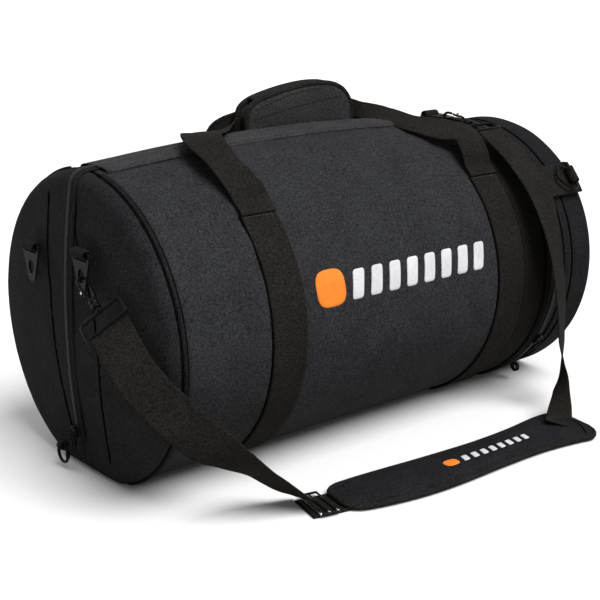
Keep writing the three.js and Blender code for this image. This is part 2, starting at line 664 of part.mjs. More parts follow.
// ---- D-ring on its webbing band across the lid's zip ----
const RING_BAND_ANGLE = -52;
const RING_BAND_D = PIPING_R * 2 + 1;
const ringBandFrame = frameAt(
  around(352, RING_BAND_ANGLE, RING_BAND_D + WEB_T + 6.6).toArray(),
  [0, Math.sin(deg(RING_BAND_ANGLE)), Math.cos(deg(RING_BAND_ANGLE))], [1, 0, 0]);
const bandStrip = wallLayer(284, 368, RING_BAND_ANGLE - 7, RING_BAND_ANGLE + 7, RING_BAND_D + WEB_T, RING_BAND_D);
add('lid_ring_band', join(bandStrip, webbingLoop(24).applyMatrix4(ringBandFrame)), WEB);
const D_BAR = 17;
const D_RING = bar([
  [0, -D_BAR, 0], [0, 0, 0], [0, D_BAR, 0], [0, D_BAR + 1, -12], [0, 9, -26], [0, 0, -30], [0, -9, -26],
  [0, -D_BAR - 1, -12],
], 2.2, true);
add('lid_d_ring', D_RING.applyMatrix4(ringBandFrame), METAL);

// ---- small spring hooks on webbing loops at the bottom of each end ----
function springHook(radius, wire) {
  const points = [];
  for (let i = 0; i < 12; i++) {
    const t = (2 * Math.PI * i) / 12;
    points.push([0, radius * Math.sin(t), radius * Math.cos(t) - radius]);
  }
  return bar(points, wire, true);
}
const leftBase = frameAt([-371, 26, 31], [-1, 0, 0], [0, 0, 1]);
const rightBase = frameAt(around(300, -143, 9.5).toArray(), [0, -0.6, -0.8], [0, -0.8, 0.6]);
add('left_base_loop', webbingLoop(8).applyMatrix4(leftBase), WEB);
add('left_base_hook', springHook(11, 2).applyMatrix4(leftBase), METAL);
add('right_base_loop', webbingLoop(6).applyMatrix4(rightBase), WEB);

export default part;
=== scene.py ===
"""Telescope carry case: a padded black fabric cylinder with a top zip, a zipped end lid, webbing handles,
a padded handle wrap, and a shoulder strap with a pad. Metres, +Z up, X along the barrel."""
import math

import bmesh
import bpy
from mathutils import Matrix, Vector, noise


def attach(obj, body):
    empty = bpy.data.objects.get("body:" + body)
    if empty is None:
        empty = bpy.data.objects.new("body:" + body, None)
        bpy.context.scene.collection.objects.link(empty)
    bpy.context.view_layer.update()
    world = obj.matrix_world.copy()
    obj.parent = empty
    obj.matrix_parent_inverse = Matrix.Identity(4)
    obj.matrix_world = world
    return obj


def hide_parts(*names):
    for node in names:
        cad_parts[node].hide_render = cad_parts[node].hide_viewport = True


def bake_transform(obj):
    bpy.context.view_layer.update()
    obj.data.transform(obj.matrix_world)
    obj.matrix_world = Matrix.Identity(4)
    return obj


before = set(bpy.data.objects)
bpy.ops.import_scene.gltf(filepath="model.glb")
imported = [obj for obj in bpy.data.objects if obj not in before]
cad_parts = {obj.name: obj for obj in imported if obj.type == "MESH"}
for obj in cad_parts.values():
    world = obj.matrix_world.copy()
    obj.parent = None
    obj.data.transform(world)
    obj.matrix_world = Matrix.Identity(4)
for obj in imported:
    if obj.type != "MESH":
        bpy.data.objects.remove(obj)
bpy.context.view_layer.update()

# ---------------------------------------------------------------- dimensions, as in the CAD model
MM = 0.001
R = 0.190                    # outer radius of the barrel
AXIS_Z = 0.180               # height of the barrel's axis above the flat underside
WEBBING = 0.050              # width of the strap and handle webbing
WEB_T = 0.0022               # thickness of the webbing
X_PIPING = -0.335            # seam between the domed cap and the barrel
X_COLLAR = 0.226             # seam between the barrel and the collar
X_COLLAR_PIPE = 0.274        # piping on the collar
X_LID_ZIP = 0.292            # middle of the lid's zip
X_LID_PIPE = 0.312           # piping on the lid's side
X_LID_SEAM = 0.329           # plain seam on the lid's side
X_LID_END = 0.377            # outer face of the lid
X_LEFT_BAND = -0.188         # middle of the left handle band
X_RIGHT_BAND = 0.198         # middle of the right handle band
DOME_R = 1.100               # radius of the cap's dome
DOME_EDGE_R = 0.017          # rounding between the dome and the barrel
LID_EDGE_R = 0.012           # rounding at the lid's rim
ROOT_ANGLE = 43              # where the handles are sewn on, degrees from the top
WALL = 0.0123                # cloth, foam and lining together
LINING_D = -0.0113           # depth of the lining's outer face
SWELL = 0.019                # swelling of the stuffed barrel at the middle of its top
SWELL_ANGLE = 50             # how far down each side the swelling reaches, in degrees from the top
BARREL_MIDDLE = -0.015       # where along the barrel it is fullest
BARREL_HALF = 0.330          # how far along the barrel the swelling reaches from there
LYING = 0.022                # webbing this close to the barrel counts as lying on it
GAP = 0.0003                 # half the slit between two parts that open
CLOTH_T = 0.0011             # thickness of the outer cloth
LINING_T = 0.0008            # thickness of the lining
TAPE_T = 0.0007              # thickness of the zips' tape
EDGING_T = 0.0003            # thickness of the binding inside the openings
FLAT_ANGLE = 180 - math.degrees(math.acos(AXIS_Z / R))
ROUND_EDGE = FLAT_ANGLE - 2  # pieces sewn on the outside stop short of the flat underside

HALVES = (("front", -1, "case_front"), ("back", 1, "back_half"))    # name, side of the slit, body

# ---------------------------------------------------------------- materials


def new_material(name):
    """A material with its node tree and its shader."""
    material = bpy.data.materials.new(name)
    material.use_nodes = True
    tree = material.node_tree
    shader = tree.nodes["Principled BSDF"]
    return material, tree, shader


def node(tree, kind, **values):
    """A new shader node. Each value sets an input socket of that name, or else a property."""
    made = tree.nodes.new(kind)
    for key, value in values.items():
        if key in made.inputs:
            made.inputs[key].default_value = value
        else:
            setattr(made, key, value)
    return made


def link(tree, source, output, target, socket):
    """Joins one node's output to another node's input."""
    tree.links.new(source.outputs[output], target.inputs[socket])


def colour_from_noise(tree, vector, dark, light, scale):
    """Slow mottling between two colours."""
    mottle = node(tree, "ShaderNodeTexNoise", Scale=scale, Detail=4.0, Roughness=0.6)
    ramp = node(tree, "ShaderNodeValToRGB")
    ramp.color_ramp.elements[0].position = 0.30
    ramp.color_ramp.elements[0].color = (*dark, 1)
    ramp.color_ramp.elements[1].position = 0.72
    ramp.color_ramp.elements[1].color = (*light, 1)
    link(tree, *vector, mottle, "Vector")
    link(tree, mottle, "Fac", ramp, "Fac")
    return ramp


BANDS_PER_SCALE = 3.18       # bands per metre that the wave texture makes at scale 1


def woven(name, dark, light, pitch, bump=0.4, grain=1.1, specular=0.02):
    """Cloth with a weave whose threads run along u and v, which are lengths in metres."""
    material, tree, shader = new_material(name)
    cloth = node(tree, "ShaderNodeUVMap", uv_map="weave")
    place = node(tree, "ShaderNodeTexCoord")
    ramp = colour_from_noise(tree, (place, "Object"), dark, light, 22.0)
    waves = []
    for axis in ("X", "Y"):
        wave = node(tree, "ShaderNodeTexWave", wave_type="BANDS", bands_direction=axis, wave_profile="SIN",
                    Scale=1 / pitch / BANDS_PER_SCALE, Distortion=0.6, Detail=1.0, **{"Detail Scale": 2.0})
        link(tree, cloth, "UV", wave, "Vector")
        waves.append(wave)
    both = node(tree, "ShaderNodeMath", operation="MULTIPLY")
    link(tree, waves[0], "Fac", both, 0)
    link(tree, waves[1], "Fac", both, 1)
    fibre = node(tree, "ShaderNodeTexNoise", Scale=400.0, Detail=5.0, Roughness=0.85)
    link(tree, place, "Object", fibre, "Vector")
    height = node(tree, "ShaderNodeMath", operation="ADD")
    link(tree, both, 0, height, 0)
    link(tree, fibre, "Fac", height, 1)
    relief = node(tree, "ShaderNodeBump", Strength=bump, Distance=pitch * 0.35)
    link(tree, height, 0, relief, "Height")
    link(tree, relief, "Normal", shader, "Normal")
    speck = node(tree, "ShaderNodeMapRange",
                 **{"From Min": 0.30, "From Max": 0.70, "To Min": 1 - grain, "To Max": 1 + grain})
    link(tree, fibre, "Fac", speck, "Value")
    tint = node(tree, "ShaderNodeVectorMath", operation="SCALE")
    link(tree, ramp, "Color", tint, 0)
    link(tree, speck, "Result", tint, "Scale")
    link(tree, tint, "Vector", shader, "Base Color")
    shader.inputs["Roughness"].default_value = 0.8
    shader.inputs["Specular IOR Level"].default_value = specular
    return material


def plain(name, dark, light, rough, metallic=0.0, specular=0.5, scale=60.0):
    """A solid material with slight mottling and a fine uneven surface."""
    material, tree, shader = new_material(name)
    place = node(tree, "ShaderNodeTexCoord")
    ramp = colour_from_noise(tree, (place, "Object"), dark, light, scale)
    link(tree, ramp, "Color", shader, "Base Color")
    grain = node(tree, "ShaderNodeTexNoise", Scale=scale * 12, Detail=2.0)
    relief = node(tree, "ShaderNodeBump", Strength=0.02, Distance=0.0005)
    link(tree, place, "Object", grain, "Vector")
    link(tree, grain, "Fac", relief, "Height")
    link(tree, relief, "Normal", shader, "Normal")
    shader.inputs["Roughness"].default_value = rough
    shader.inputs["Metallic"].default_value = metallic
    shader.inputs["Specular IOR Level"].default_value = specular
    return material


CANVAS = woven("canvas", (0.0143, 0.0145, 0.0156), (0.0194, 0.0199, 0.0212), 0.0016, bump=0.6)
CAP_CANVAS = woven("cap_canvas", (0.0088, 0.0089, 0.0096), (0.0126, 0.0128, 0.0137), 0.0016)
COLLAR_CLOTH = woven("collar_cloth", (0.0077, 0.0071, 0.0062), (0.0112, 0.0103, 0.0091), 0.0014)
# Painted shade: a darker copy of the case's canvas, so that the lid end comes out as dark as in shade.
SHADED_LID_CANVAS = woven("shaded_lid_canvas", (0.0062, 0.0063, 0.0069), (0.0092, 0.0094, 0.0102), 0.0016)
WEB_CLOTH = woven("webbing", (0.0082, 0.0074, 0.0064), (0.0122, 0.0112, 0.0096), 0.0024, bump=0.7)
BAND_CLOTH = woven("zip_band", (0.0200, 0.0202, 0.0213), (0.0264, 0.0267, 0.0280), 0.0016)
TAPE_CLOTH = woven("zip_tape", (0.0072, 0.0070, 0.0066), (0.0108, 0.0105, 0.0100), 0.0012)
PIPING = woven("piping", (0.0063, 0.0063, 0.0066), (0.0098, 0.0098, 0.0103), 0.0012)
LINING = woven("lining", (0.030, 0.031, 0.034), (0.045, 0.046, 0.050), 0.0012, bump=0.15, grain=0.2,
               specular=0.3)
PAD_CLOTH = woven("pad_cloth", (0.0075, 0.0077, 0.0086), (0.0107, 0.0110, 0.0121), 0.0012, bump=0.4)
WRAP_CLOTH = woven("wrap_cloth", (0.0184, 0.0186, 0.0192), (0.0254, 0.0257, 0.0266), 0.0014, bump=0.4)
BINDING = woven("binding", (0.0092, 0.0087, 0.0079), (0.0132, 0.0125, 0.0114), 0.0018, bump=0.7)
LIGHT_THREAD = plain("light_thread", (0.045, 0.043, 0.039), (0.075, 0.071, 0.065), 0.6, scale=200.0)
THREAD = plain("thread", (0.012, 0.012, 0.011), (0.022, 0.021, 0.019), 0.6, specular=0.1, scale=200.0)
COIL = plain("zip_coil", (0.012, 0.0118, 0.0112), (0.020, 0.0195, 0.0186), 0.45, specular=0.2)
# Painted shade: a near-black for cords laid in the grooves beside piping, along seams and at band edges,
# where only shade falls. The wrap flap's stitches use it too.
SEAM_SHADOW = plain("seam_shadow", (0.0012, 0.0012, 0.0013), (0.0022, 0.0022, 0.0023), 0.9, specular=0.01)
METAL = plain("black_metal", (0.0025, 0.0025, 0.0028), (0.0042, 0.0042, 0.0046), 0.28, specular=0.045)
# Painted highlight: a light metal on the black thumb piece and adjuster bars, standing in for their glints.
HIGHLIGHT_METAL = plain("painted_highlight_metal", (0.30, 0.30, 0.31), (0.42, 0.42, 0.43), 0.25, metallic=1.0)
ORANGE = woven("orange_embroidery", (0.50, 0.115, 0.006), (0.62, 0.165, 0.010), 0.0010, bump=0.5, grain=0.15,
               specular=0.3)
GREY = woven("grey_embroidery", (0.36, 0.36, 0.37), (0.46, 0.46, 0.47), 0.0010, bump=0.5, grain=0.12,
             specular=0.3)

# ---------------------------------------------------------------- the barrel's surface


def soft_min(a, b, k):
    """The smaller of the two, rounded off where they are within k of each other."""
    h = max(k - abs(a - b), 0) / k
    return min(a, b) - h * h * k / 4


def fullness(x, angle):
    """How far the stuffed barrel swells beyond a true cylinder: most at the middle of the top."""
    share = (x - BARREL_MIDDLE) / BARREL_HALF
    angle = (angle + 180) % 360 - 180
    if abs(share) >= 1 or abs(angle) >= SWELL_ANGLE:
        return 0.0
    return SWELL * (1 - share * share) ** 1.2 * math.cos(math.pi / 2 * angle / SWELL_ANGLE) ** 2


def around(x, angle, d=0.0):
    """A point on the barrel: angle 0 is the top, positive towards the back, d is outwards."""
    t = math.radians(angle)
    down = -math.cos(t)
    radius = R + d + fullness(x, angle)
    if down > 0.5:
        radius = soft_min(radius, (AXIS_Z + d) / down, 0.004)
    return Vector((x, radius * math.sin(t), AXIS_Z + radius * math.cos(t)))


def outward(angle):
    """The direction straight out of the barrel at an angle."""
    t = math.radians(angle)
    return Vector((0, math.sin(t), math.cos(t)))


def steps(low, high, count):
    """Even stations from low to high, count steps apart."""
    return [low + (high - low) * i / count for i in range(count + 1)]


def turns(count):
    """The angles of count points round a full turn."""
    return [2 * math.pi * k / count for k in range(count)]


def spread(low, high, step, extra=()):
    """Even stations about one step apart from low to high, with the extra ones among them."""
    stations = steps(low, high, max(1, round((high - low) / step)))
    inside = [e for e in extra if low < e < high]
    kept = [s for s in stations if all(abs(s - e) > step * 0.3 for e in inside) or s in (low, high)]
    return sorted(kept + inside)


def bump_noise(x, y, z, size):
    """Smooth noise from -1 to 1 whose bumps are about size apart."""
    return noise.noise(Vector((x, y, z)) / size)


# ---------------------------------------------------------------- mesh helpers


def new_object(name, data):
    """Puts a mesh, a curve, a lamp or the camera into the scene."""
    made = bpy.data.objects.new(name, data)
    bpy.context.collection.objects.link(made)
    return made


def make(name, points, faces, material, uvs=None, smooth=True):
    """One object from points and faces. uvs gives each point's (u, v) in metres for the weave."""
    mesh = bpy.data.meshes.new(name)
    mesh.from_pydata([tuple(p) for p in points], [], faces)
    mesh.materials.append(material)
    if uvs is not None:
        layer = mesh.uv_layers.new(name="weave")
        for loop in mesh.loops:
            layer.data[loop.index].uv = uvs[loop.vertex_index]
    mesh.update()
    if smooth:
        mesh.polygons.foreach_set("use_smooth", [True] * len(mesh.polygons))
    return new_object(name, mesh)


def grid(name, rows, material, closed=False, uvs=None):
    """A sheet from rows of points. uvs gives each point's (u, v) in metres."""
    n = len(rows[0])
    points = [p for row in rows for p in row]
    faces = []
    span = n if closed else n - 1
    for i in range(len(rows) - 1):
        for k in range(span):
            j = (k + 1) % n
            faces.append((i * n + k, i * n + j, (i + 1) * n + j, (i + 1) * n + k))
    if uvs is None:
        uvs = []
        v = 0.0
        for i, row in enumerate(rows):
            if i:
                v += (row[n // 2] - rows[i - 1][n // 2]).length
            u = 0.0
            for k, p in enumerate(row):
                if k:
                    u += (p - row[k - 1]).length
                uvs.append((u, v))
    return make(name, points, faces, material, uvs)


def thicken(piece, thickness, offset=-1.0):
    """Gives a sheet its thickness: inwards, or to both sides with offset 0."""
    solidify = piece.modifiers.new("thickness", "SOLIDIFY")
    solidify.thickness = thickness
    solidify.offset = offset
    return piece


def faces_out(piece, centre):
    """Turns a sheet's faces so that they look away from a point or an axis."""
    mesh = piece.data
    total = 0.0
    for face in mesh.polygons:
        total += face.normal.dot(face.center - centre(face.center)) * face.area
    if total < 0:
        mesh.flip_normals()
    return piece


def from_axis(p):
    """The point of the barrel's axis level with p."""
    return Vector((p.x, 0, AXIS_Z))


def from_middle(_):
    """The middle of the case."""
    return Vector((0, 0, AXIS_Z))


def catmull(points, t, closed=False):
    """The centripetal curve through the points, at t from 0 to 1."""
    count = len(points)
    p = (count - (0 if closed else 1)) * t
    k = math.floor(p)
    w = p - k
    if closed:
        k %= count
    elif k >= count - 1:
        k, w = count - 2, 1.0

    def at(i):
        if closed:
            return points[i % count]
        if i < 0:
            return points[0] * 2 - points[1]
        if i >= count:
            return points[-1] * 2 - points[-2]
        return points[i]

    a, b, c, d = at(k - 1), at(k), at(k + 1), at(k + 2)
    steps = [(q - r).length_squared ** 0.25 for q, r in ((b, a), (c, b), (d, c))]
    mid = steps[1] if steps[1] > 1e-6 else 1.0
    first = steps[0] if steps[0] > 1e-6 else mid
    last = steps[2] if steps[2] > 1e-6 else mid
    out = ((b - a) / first - (c - a) / (first + mid) + (c - b) / mid) * mid
    into = ((c - b) / mid - (d - b) / (mid + last) + (d - c) / last) * mid
    return b + out * w + (b * -3 + c * 3 - out * 2 - into) * w ** 2 + (b * 2 - c * 2 + out + into) * w ** 3


def tangent(points, t, step):
    """The direction of the curve through the points at t."""
    return (catmull(points, min(1, t + step)) - catmull(points, max(0, t - step))).normalized()


def lengths_along(path):
    """How far along the path each of its points lies."""
    lengths = [0.0]
    for a, b in zip(path, path[1:]):
        lengths.append(lengths[-1] + (b - a).length)
    return lengths


def locate(lengths, s):
    """The stretch of a path that the length s falls in, and how far along that stretch, from 0 to 1."""
    k = 0
    while k < len(lengths) - 2 and lengths[k + 1] < s:
        k += 1
    return k, (s - lengths[k]) / max(lengths[k + 1] - lengths[k], 1e-9)


def tube(name, path, radius, material, closed=False, sides=12):
    """A round bar or cord along a list of points. radius is a number or a list with one for each point."""
    n = len(path)
    radii = radius if isinstance(radius, list) else [radius] * n
    rows = []
    side = None
    for i, p in enumerate(path):
        ahead = path[(i + 1) % n] if closed or i < n - 1 else p
        behind = path[i - 1] if closed or i > 0 else p
        along = (ahead - behind).normalized()
        if side is None:
            side = along.orthogonal().normalized()
        side = (side - along * side.dot(along)).normalized()
        up = along.cross(side)
        rows.append([p + (side * math.cos(t) + up * math.sin(t)) * radii[i] for t in turns(sides)])
    shift = 0
    if closed:
        first = rows[0][0] - path[0]
        shift = round(math.atan2(first.dot(up), first.dot(side)) / (2 * math.pi) * sides)
    points = [p for row in rows for p in row]
    faces = []
    for i in range(n if closed else n - 1):
        a = i * sides
        b = (i + 1) % n * sides
        turn = shift if i == n - 1 else 0
        for k in range(sides):
            j = (k + 1) % sides
            faces.append((a + k, a + j, b + (j + turn) % sides, b + (k + turn) % sides))
    if not closed:
        last = (n - 1) * sides
        faces.append(tuple(range(sides))[::-1])
        faces.append(tuple(range(last, last + sides)))
    uvs = [(t * radii[i], length) for i, length in enumerate(lengths_along(path)) for t in turns(sides)]
    return fix_normals(make(name, points, faces, material, uvs))


def edit_mesh(piece, change):
    """Makes one change to a piece's mesh by way of bmesh."""
    work = bmesh.new()
    work.from_mesh(piece.data)
    work.verts.ensure_lookup_table()
    change(work)
    work.to_mesh(piece.data)
    work.free()
    return piece


def fix_normals(piece):
    """Turns the faces of a closed piece outwards."""
    return edit_mesh(piece, lambda work: bmesh.ops.recalc_face_normals(work, faces=work.faces))


def weld(piece):
    """Makes one point of those that lie on top of each other."""
    return edit_mesh(piece, lambda work: bmesh.ops.remove_doubles(work, verts=work.verts, dist=1e-6))


def add_face(piece, start, count):
    """Closes a ring of points with one face. The ring's points follow each other from start."""
    return edit_mesh(piece, lambda work: work.faces.new([work.verts[start + k] for k in range(count)]))


def cap_ends(piece, n):
    """Closes both ends of a piece made of rings of n points."""
    for start in (0, len(piece.data.vertices) - n):
        add_face(piece, start, n)
    return fix_normals(piece)


def smooth_path(points, count, closed=False):
    """A number of points on the smooth curve through the given ones."""
    points = [Vector(p) for p in points]
    last = count if closed else count - 1
    return [catmull(points, i / last, closed) for i in range(count)]


def block(name, section, low, high, material, place=None):
    """A prism: section is a list of (y, z) points, run from x = low to x = high, with softened edges."""
    points = [Vector((low, y, z)) for y, z in section] + [Vector((high, y, z)) for y, z in section]
    n = len(section)
    faces = [tuple(range(n))[::-1], tuple(range(n, 2 * n))]
    faces += [(k, (k + 1) % n, n + (k + 1) % n, n + k) for k in range(n)]
    if place is not None:
        points = [place @ p for p in points]
    piece = make(name, points, faces, material, smooth=False)
    fix_normals(piece)
    bevel = piece.modifiers.new("edges", "BEVEL")
    bevel.width = 0.0004
    bevel.segments = 2
    return piece


def join_pieces(name, pieces):
    """One object from several meshes, with their modifiers applied."""
    depsgraph = bpy.context.evaluated_depsgraph_get()
    points, faces, uvs, indices, materials = [], [], [], [], []
    for piece in pieces:
        depsgraph.update()
        made = piece.evaluated_get(depsgraph).to_mesh()
        base = len(points)
        layer = made.uv_layers.get("weave")
        where = {}
        if layer:
            for loop in made.loops:
                where[loop.vertex_index] = tuple(layer.data[loop.index].uv)
        points.extend(v.co.copy() for v in made.vertices)
        uvs.extend(where.get(v.index, (v.co.x, v.co.y + v.co.z)) for v in made.vertices)
        for face in made.polygons:
            faces.append(tuple(base + k for k in face.vertices))
            material = piece.data.materials[face.material_index]
            if material not in materials:
                materials.append(material)
            indices.append((materials.index(material), face.use_smooth))
        piece.to_mesh_clear()
    whole = make(name, points, faces, materials[0], uvs)
    for material in materials[1:]:
        whole.data.materials.append(material)
    for face, (index, smooth) in zip(whole.data.polygons, indices):
        face.material_index = index
        face.use_smooth = smooth
    for piece in pieces:
        bpy.data.objects.remove(piece)
    return whole


def place(piece, body, slot, *nodes):
    """Puts a finished piece on its body, in place of the CAD nodes that it stands for."""
    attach(piece, body)
    if nodes:
        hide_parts(*nodes)
    return piece


# ---------------------------------------------------------------- barrel, collar, cap and lid cloth


def seam_dip(x, seams, depth=0.0022, reach=0.007):
    """Cloth pulled in where it is sewn."""
    total = 0.0
    for seam in seams:
        away = abs(x - seam) / reach
        if away < 1:
            total -= depth * (1 - away) ** 2
    return total


def pucker(x, angle, seams, size=0.0005):
    """Small gathers beside a sewn seam."""
    total = 0.0
    for seam in seams:
        away = abs(x - seam) / 0.03
        if away < 1:
            total += size * (1 - away) ** 2 * bump_noise(seam * 9, angle * 0.26, 3.1, 0.35)
    return total


def barrel_folds(x, angle):
    """Broad unevenness and the shallow diagonal creases of a stuffed bag."""
    p = around(x, angle)
    broad = 0.0009 * bump_noise(p.x, p.y, p.z, 0.11)
    slant = 0.0011 * max(0.0, bump_noise(p.x * 2.2 + angle * 0.0045, angle * 0.0015, 0.7, 0.09))
    near_top = math.exp(-((abs((angle + 180) % 360 - 180) - 34) / 24) ** 2)
    crease = 0.0060 * near_top * bump_noise(p.x * 1.1 - angle * 0.0042, angle * 0.0006, 4.2, 0.050)
    return broad - slant + crease


BARREL_SEAMS = (X_PIPING, X_COLLAR)


def barrel_depth(x, angle):
    """How far the barrel's cloth stands out at a place: its seams, gathers and folds."""
    edge = seam_dip(x, BARREL_SEAMS) + pucker(x, angle, BARREL_SEAMS)
    return edge + barrel_folds(x, angle) * min(1.0, abs(x - X_PIPING) / 0.03)


def near(seams):
    """Extra stations at and beside each seam, where the cloth dips."""
    return [seam + offset for seam in seams for offset in (-0.003, -0.0012, 0, 0.0012, 0.003)]


def tube_cloth(name, material, x0, x1, a0, a1, depth, base=0.0, folded=False, step=2.5):
    """Cloth round the barrel from angle a0 to a1. If it is folded, its edges turn in over the foam."""
    columns = [(a, 0.0) for a in spread(a0, a1, step, (-FLAT_ANGLE, FLAT_ANGLE))]
    if folded:
        edge = (0.001, 0.004, WALL - 0.0004)
        columns = [(a0, -d) for d in edge[::-1]] + columns[1:-1] + [(a1, -d) for d in edge]
    rows = []
    for x in spread(x0, x1, 0.0075):
        row = []
        for a, inner in columns:
            d = base + inner + (depth(x, a) if inner == 0 else min(0.0, depth(x, a)) * 0.3)
            row.append(around(x, a, d))
        rows.append(row)
    piece = grid(name, rows, material)
    return faces_out(piece, from_axis)


# The arc that each half of the barrel covers, in degrees, just short of the other half's.
BARREL_ARCS = {"front": (FLAT_ANGLE - 360, -0.12), "back": (0.12, FLAT_ANGLE - 0.3)}
for side, _, body in HALVES:
    cloth = tube_cloth(f"barrel_{side}_cloth", CANVAS, X_PIPING + 0.0025, X_COLLAR, *BARREL_ARCS[side],
                       barrel_depth, folded=True)
    place(thicken(cloth, CLOTH_T), body, "canvas", f"barrel_{side}_shell", f"barrel_{side}_foam")

COLLAR_SEAMS = (X_COLLAR, X_COLLAR_PIPE)


def collar_depth(x, angle):
    """The collar's own unevenness."""
    p = around(x, angle)
    return (seam_dip(x, COLLAR_SEAMS, 0.0016, 0.006) + pucker(x, angle, COLLAR_SEAMS, 0.0004)
            + 0.0006 * bump_noise(p.x, p.y, p.z, 0.06))


def full_tube(name, material, x0, x1, depth, base=0.0, seams=()):
    """Cloth all the way round the barrel."""
    xs = spread(x0, x1, 0.006, near(seams))
    angles = spread(-180, 180, 2.5, (-FLAT_ANGLE, FLAT_ANGLE))
    rows = [[around(x, a, base + depth(x, a)) for a in angles] for x in xs]
    return faces_out(grid(name, rows, material), from_axis)


collar = full_tube("collar_cloth_ring", COLLAR_CLOTH, X_COLLAR + 0.0007, X_LID_ZIP - GAP, collar_depth,
                   seams=(X_COLLAR_PIPE,))
place(thicken(collar, CLOTH_T), "case_front", "collar_cloth", "collar_shell", "collar_foam")

X_CAP_RIM = X_PIPING - 0.0028 - GAP
EDGE_RING = R - DOME_EDGE_R
DOME_CENTRE_X = X_CAP_RIM + math.sqrt((DOME_R - DOME_EDGE_R) ** 2 - EDGE_RING ** 2)
DOME_TILT = math.asin(EDGE_RING / (DOME_R - DOME_EDGE_R))


def cap_profile(d, edge_steps=8, face_steps=22):
    """The cap's rounded edge and its face, as (x, radius) from the rim to the middle."""
    profile = []
    for i in range(edge_steps + 1):
        t = (math.pi / 2 - DOME_TILT) * i / edge_steps
        reach = DOME_EDGE_R + d
        profile.append((X_CAP_RIM - reach * math.sin(t), EDGE_RING + reach * math.cos(t)))
    for i in range(1, face_steps + 1):
        t = DOME_TILT * (1 - i / face_steps)
        reach = DOME_R + d
        profile.append((DOME_CENTRE_X - reach * math.cos(t), reach * math.sin(t)))
    return profile


LID_SEAMS = (X_LID_PIPE, X_LID_SEAM)


def lid_profile(d, edge_steps=6, face_steps=14):
    """The lid's side, rounded rim and face, as (x, radius) from the zip to the middle."""
    corner = max(LID_EDGE_R + d, 0.0006)
    side = R + d
    end = X_LID_END + d
    profile = [(x, side) for x in spread(X_LID_ZIP + GAP, end - corner - 0.003, 0.006, near(LID_SEAMS))]
    for i in range(edge_steps + 1):
        t = math.pi / 2 * i / edge_steps
        profile.append((end - corner + corner * math.sin(t), side - corner + corner * math.cos(t)))
    for i in range(1, face_steps + 1):
        profile.append((end, (side - corner) * (1 - i / face_steps)))
    return profile


def end_point(x, radius, angle, d):
    """A point of an end face: its outline is the barrel's own section, flat underside and all."""
    edge = around(x, angle, d)
    scale = radius / (R + d)
    return Vector((x, edge.y * scale, AXIS_Z + (edge.z - AXIS_Z) * scale))


def end_cloth(name, material, profile, d, a0, a1, relief, split=0, step=3.0):
    """Half or all of an end face. split = -1 or 1 keeps it on that side of the middle slit."""
    angles = spread(a0, a1, step, (-FLAT_ANGLE, FLAT_ANGLE))
    rows = []
    for x, radius in profile:
        row = []
        for a in angles:
            p = end_point(x, max(radius, 0.00005), a, d)
            p += relief(p, radius, a)
            if split:
                p.y = split * max(split * p.y, GAP)
            row.append(p)
        rows.append(row)
    piece = grid(name, rows, material, uvs=[(p.y, p.z) for row in rows for p in row])
    return faces_out(piece, from_middle)


# Seams of the cap's middle panel: y against height, front and back, as they run down the face.
FRONT_SEAM = [(0.352, -0.010), (0.300, -0.014), (0.262, -0.030), (0.210, -0.050), (0.150, -0.059),
              (0.090, -0.060), (0.025, -0.058)]
BACK_SEAM = [(0.352, 0.056), (0.262, 0.050), (0.200, 0.042), (0.150, 0.036), (0.090, 0.028), (0.050, 0.022),
             (0.025, 0.020)]


def seam_y(seam, z):
    """Where a seam of the cap runs at a height."""
    z = min(max(z, seam[-1][0]), seam[0][0])
    for (z0, y0), (z1, y1) in zip(seam, seam[1:]):
        if z1 <= z <= z0:
            return y0 + (y1 - y0) * (z0 - z) / (z0 - z1)
    return seam[-1][1]


def cap_relief(p, radius, angle):
    """The cap sags softly and dips along the seams of its middle panel."""
    face = min(1.0, max(0.0, (R - radius) / 0.03))
    dip = 0.0
    for seam in (FRONT_SEAM, BACK_SEAM):
        away = abs(p.y - seam_y(seam, p.z)) / 0.006
        if away < 1 and 0.02 < p.z < 0.35:
            dip += 0.0016 * (1 - away) ** 2
    soft = 0.0022 * bump_noise(p.y, p.z, 2.0, 0.10) + 0.0008 * bump_noise(p.y * 0.8, p.z, 6.0, 0.03)
    hollow = 0.004 * math.exp(-((p.y + 0.055) / 0.03) ** 2) * math.exp(-((p.z - 0.24) / 0.07) ** 2)
    rim = pucker(X_CAP_RIM, angle, (X_CAP_RIM,), 0.0005) * (1 - face)
    return Vector(((soft + dip + hollow + 0.0006) * face, 0, 0)) + outward(angle) * rim


HALF_TURNS = {"front": (-180, 0), "back": (0, 180)}
for side, sign, body in HALVES:
    face = end_cloth(f"cap_{side}_cloth", CAP_CANVAS, cap_profile(0), 0, *HALF_TURNS[side], cap_relief,
                     split=sign, step=2.5)
    place(thicken(face, CLOTH_T), body, "canvas", f"cap_{side}_shell", f"cap_{side}_foam")


def lid_relief(p, radius, angle):
    """The lid dips at the seams of its side, and its face sags in the middle."""
    side = radius > R - 0.002
    dip = seam_dip(p.x, LID_SEAMS, 0.0018, 0.004) if side else 0.0
    soft = 0.0007 * bump_noise(p.x, p.y, p.z, 0.06)
    sag = -0.0025 * math.exp(-(radius / 0.11) ** 2) + 0.0016 * bump_noise(p.y, p.z, 5.0, 0.09)
    if side:
        return outward(angle) * (dip + soft - 0.0003)
    return Vector((sag - 0.0012, 0, 0)) * min(1.0, (R - radius) / 0.02)


# The lid's cloth carries painted shade: it is darker than the canvas elsewhere.
lid = end_cloth("lid_cloth", SHADED_LID_CANVAS, lid_profile(0), 0, -180, 180, lid_relief, step=2.5)
place(thicken(lid, CLOTH_T), "end_lid", "canvas", "lid_shell", "lid_foam")

# ---------------------------------------------------------------- lining and the edges round each opening


def still(*_):
    """No relief at all."""
    return Vector((0, 0, 0))


def lining_depth(x, angle):
    """The lining's slight unevenness."""
    p = around(x, angle)
    return 0.0005 * bump_noise(p.x, p.y, p.z, 0.05) - 0.0004


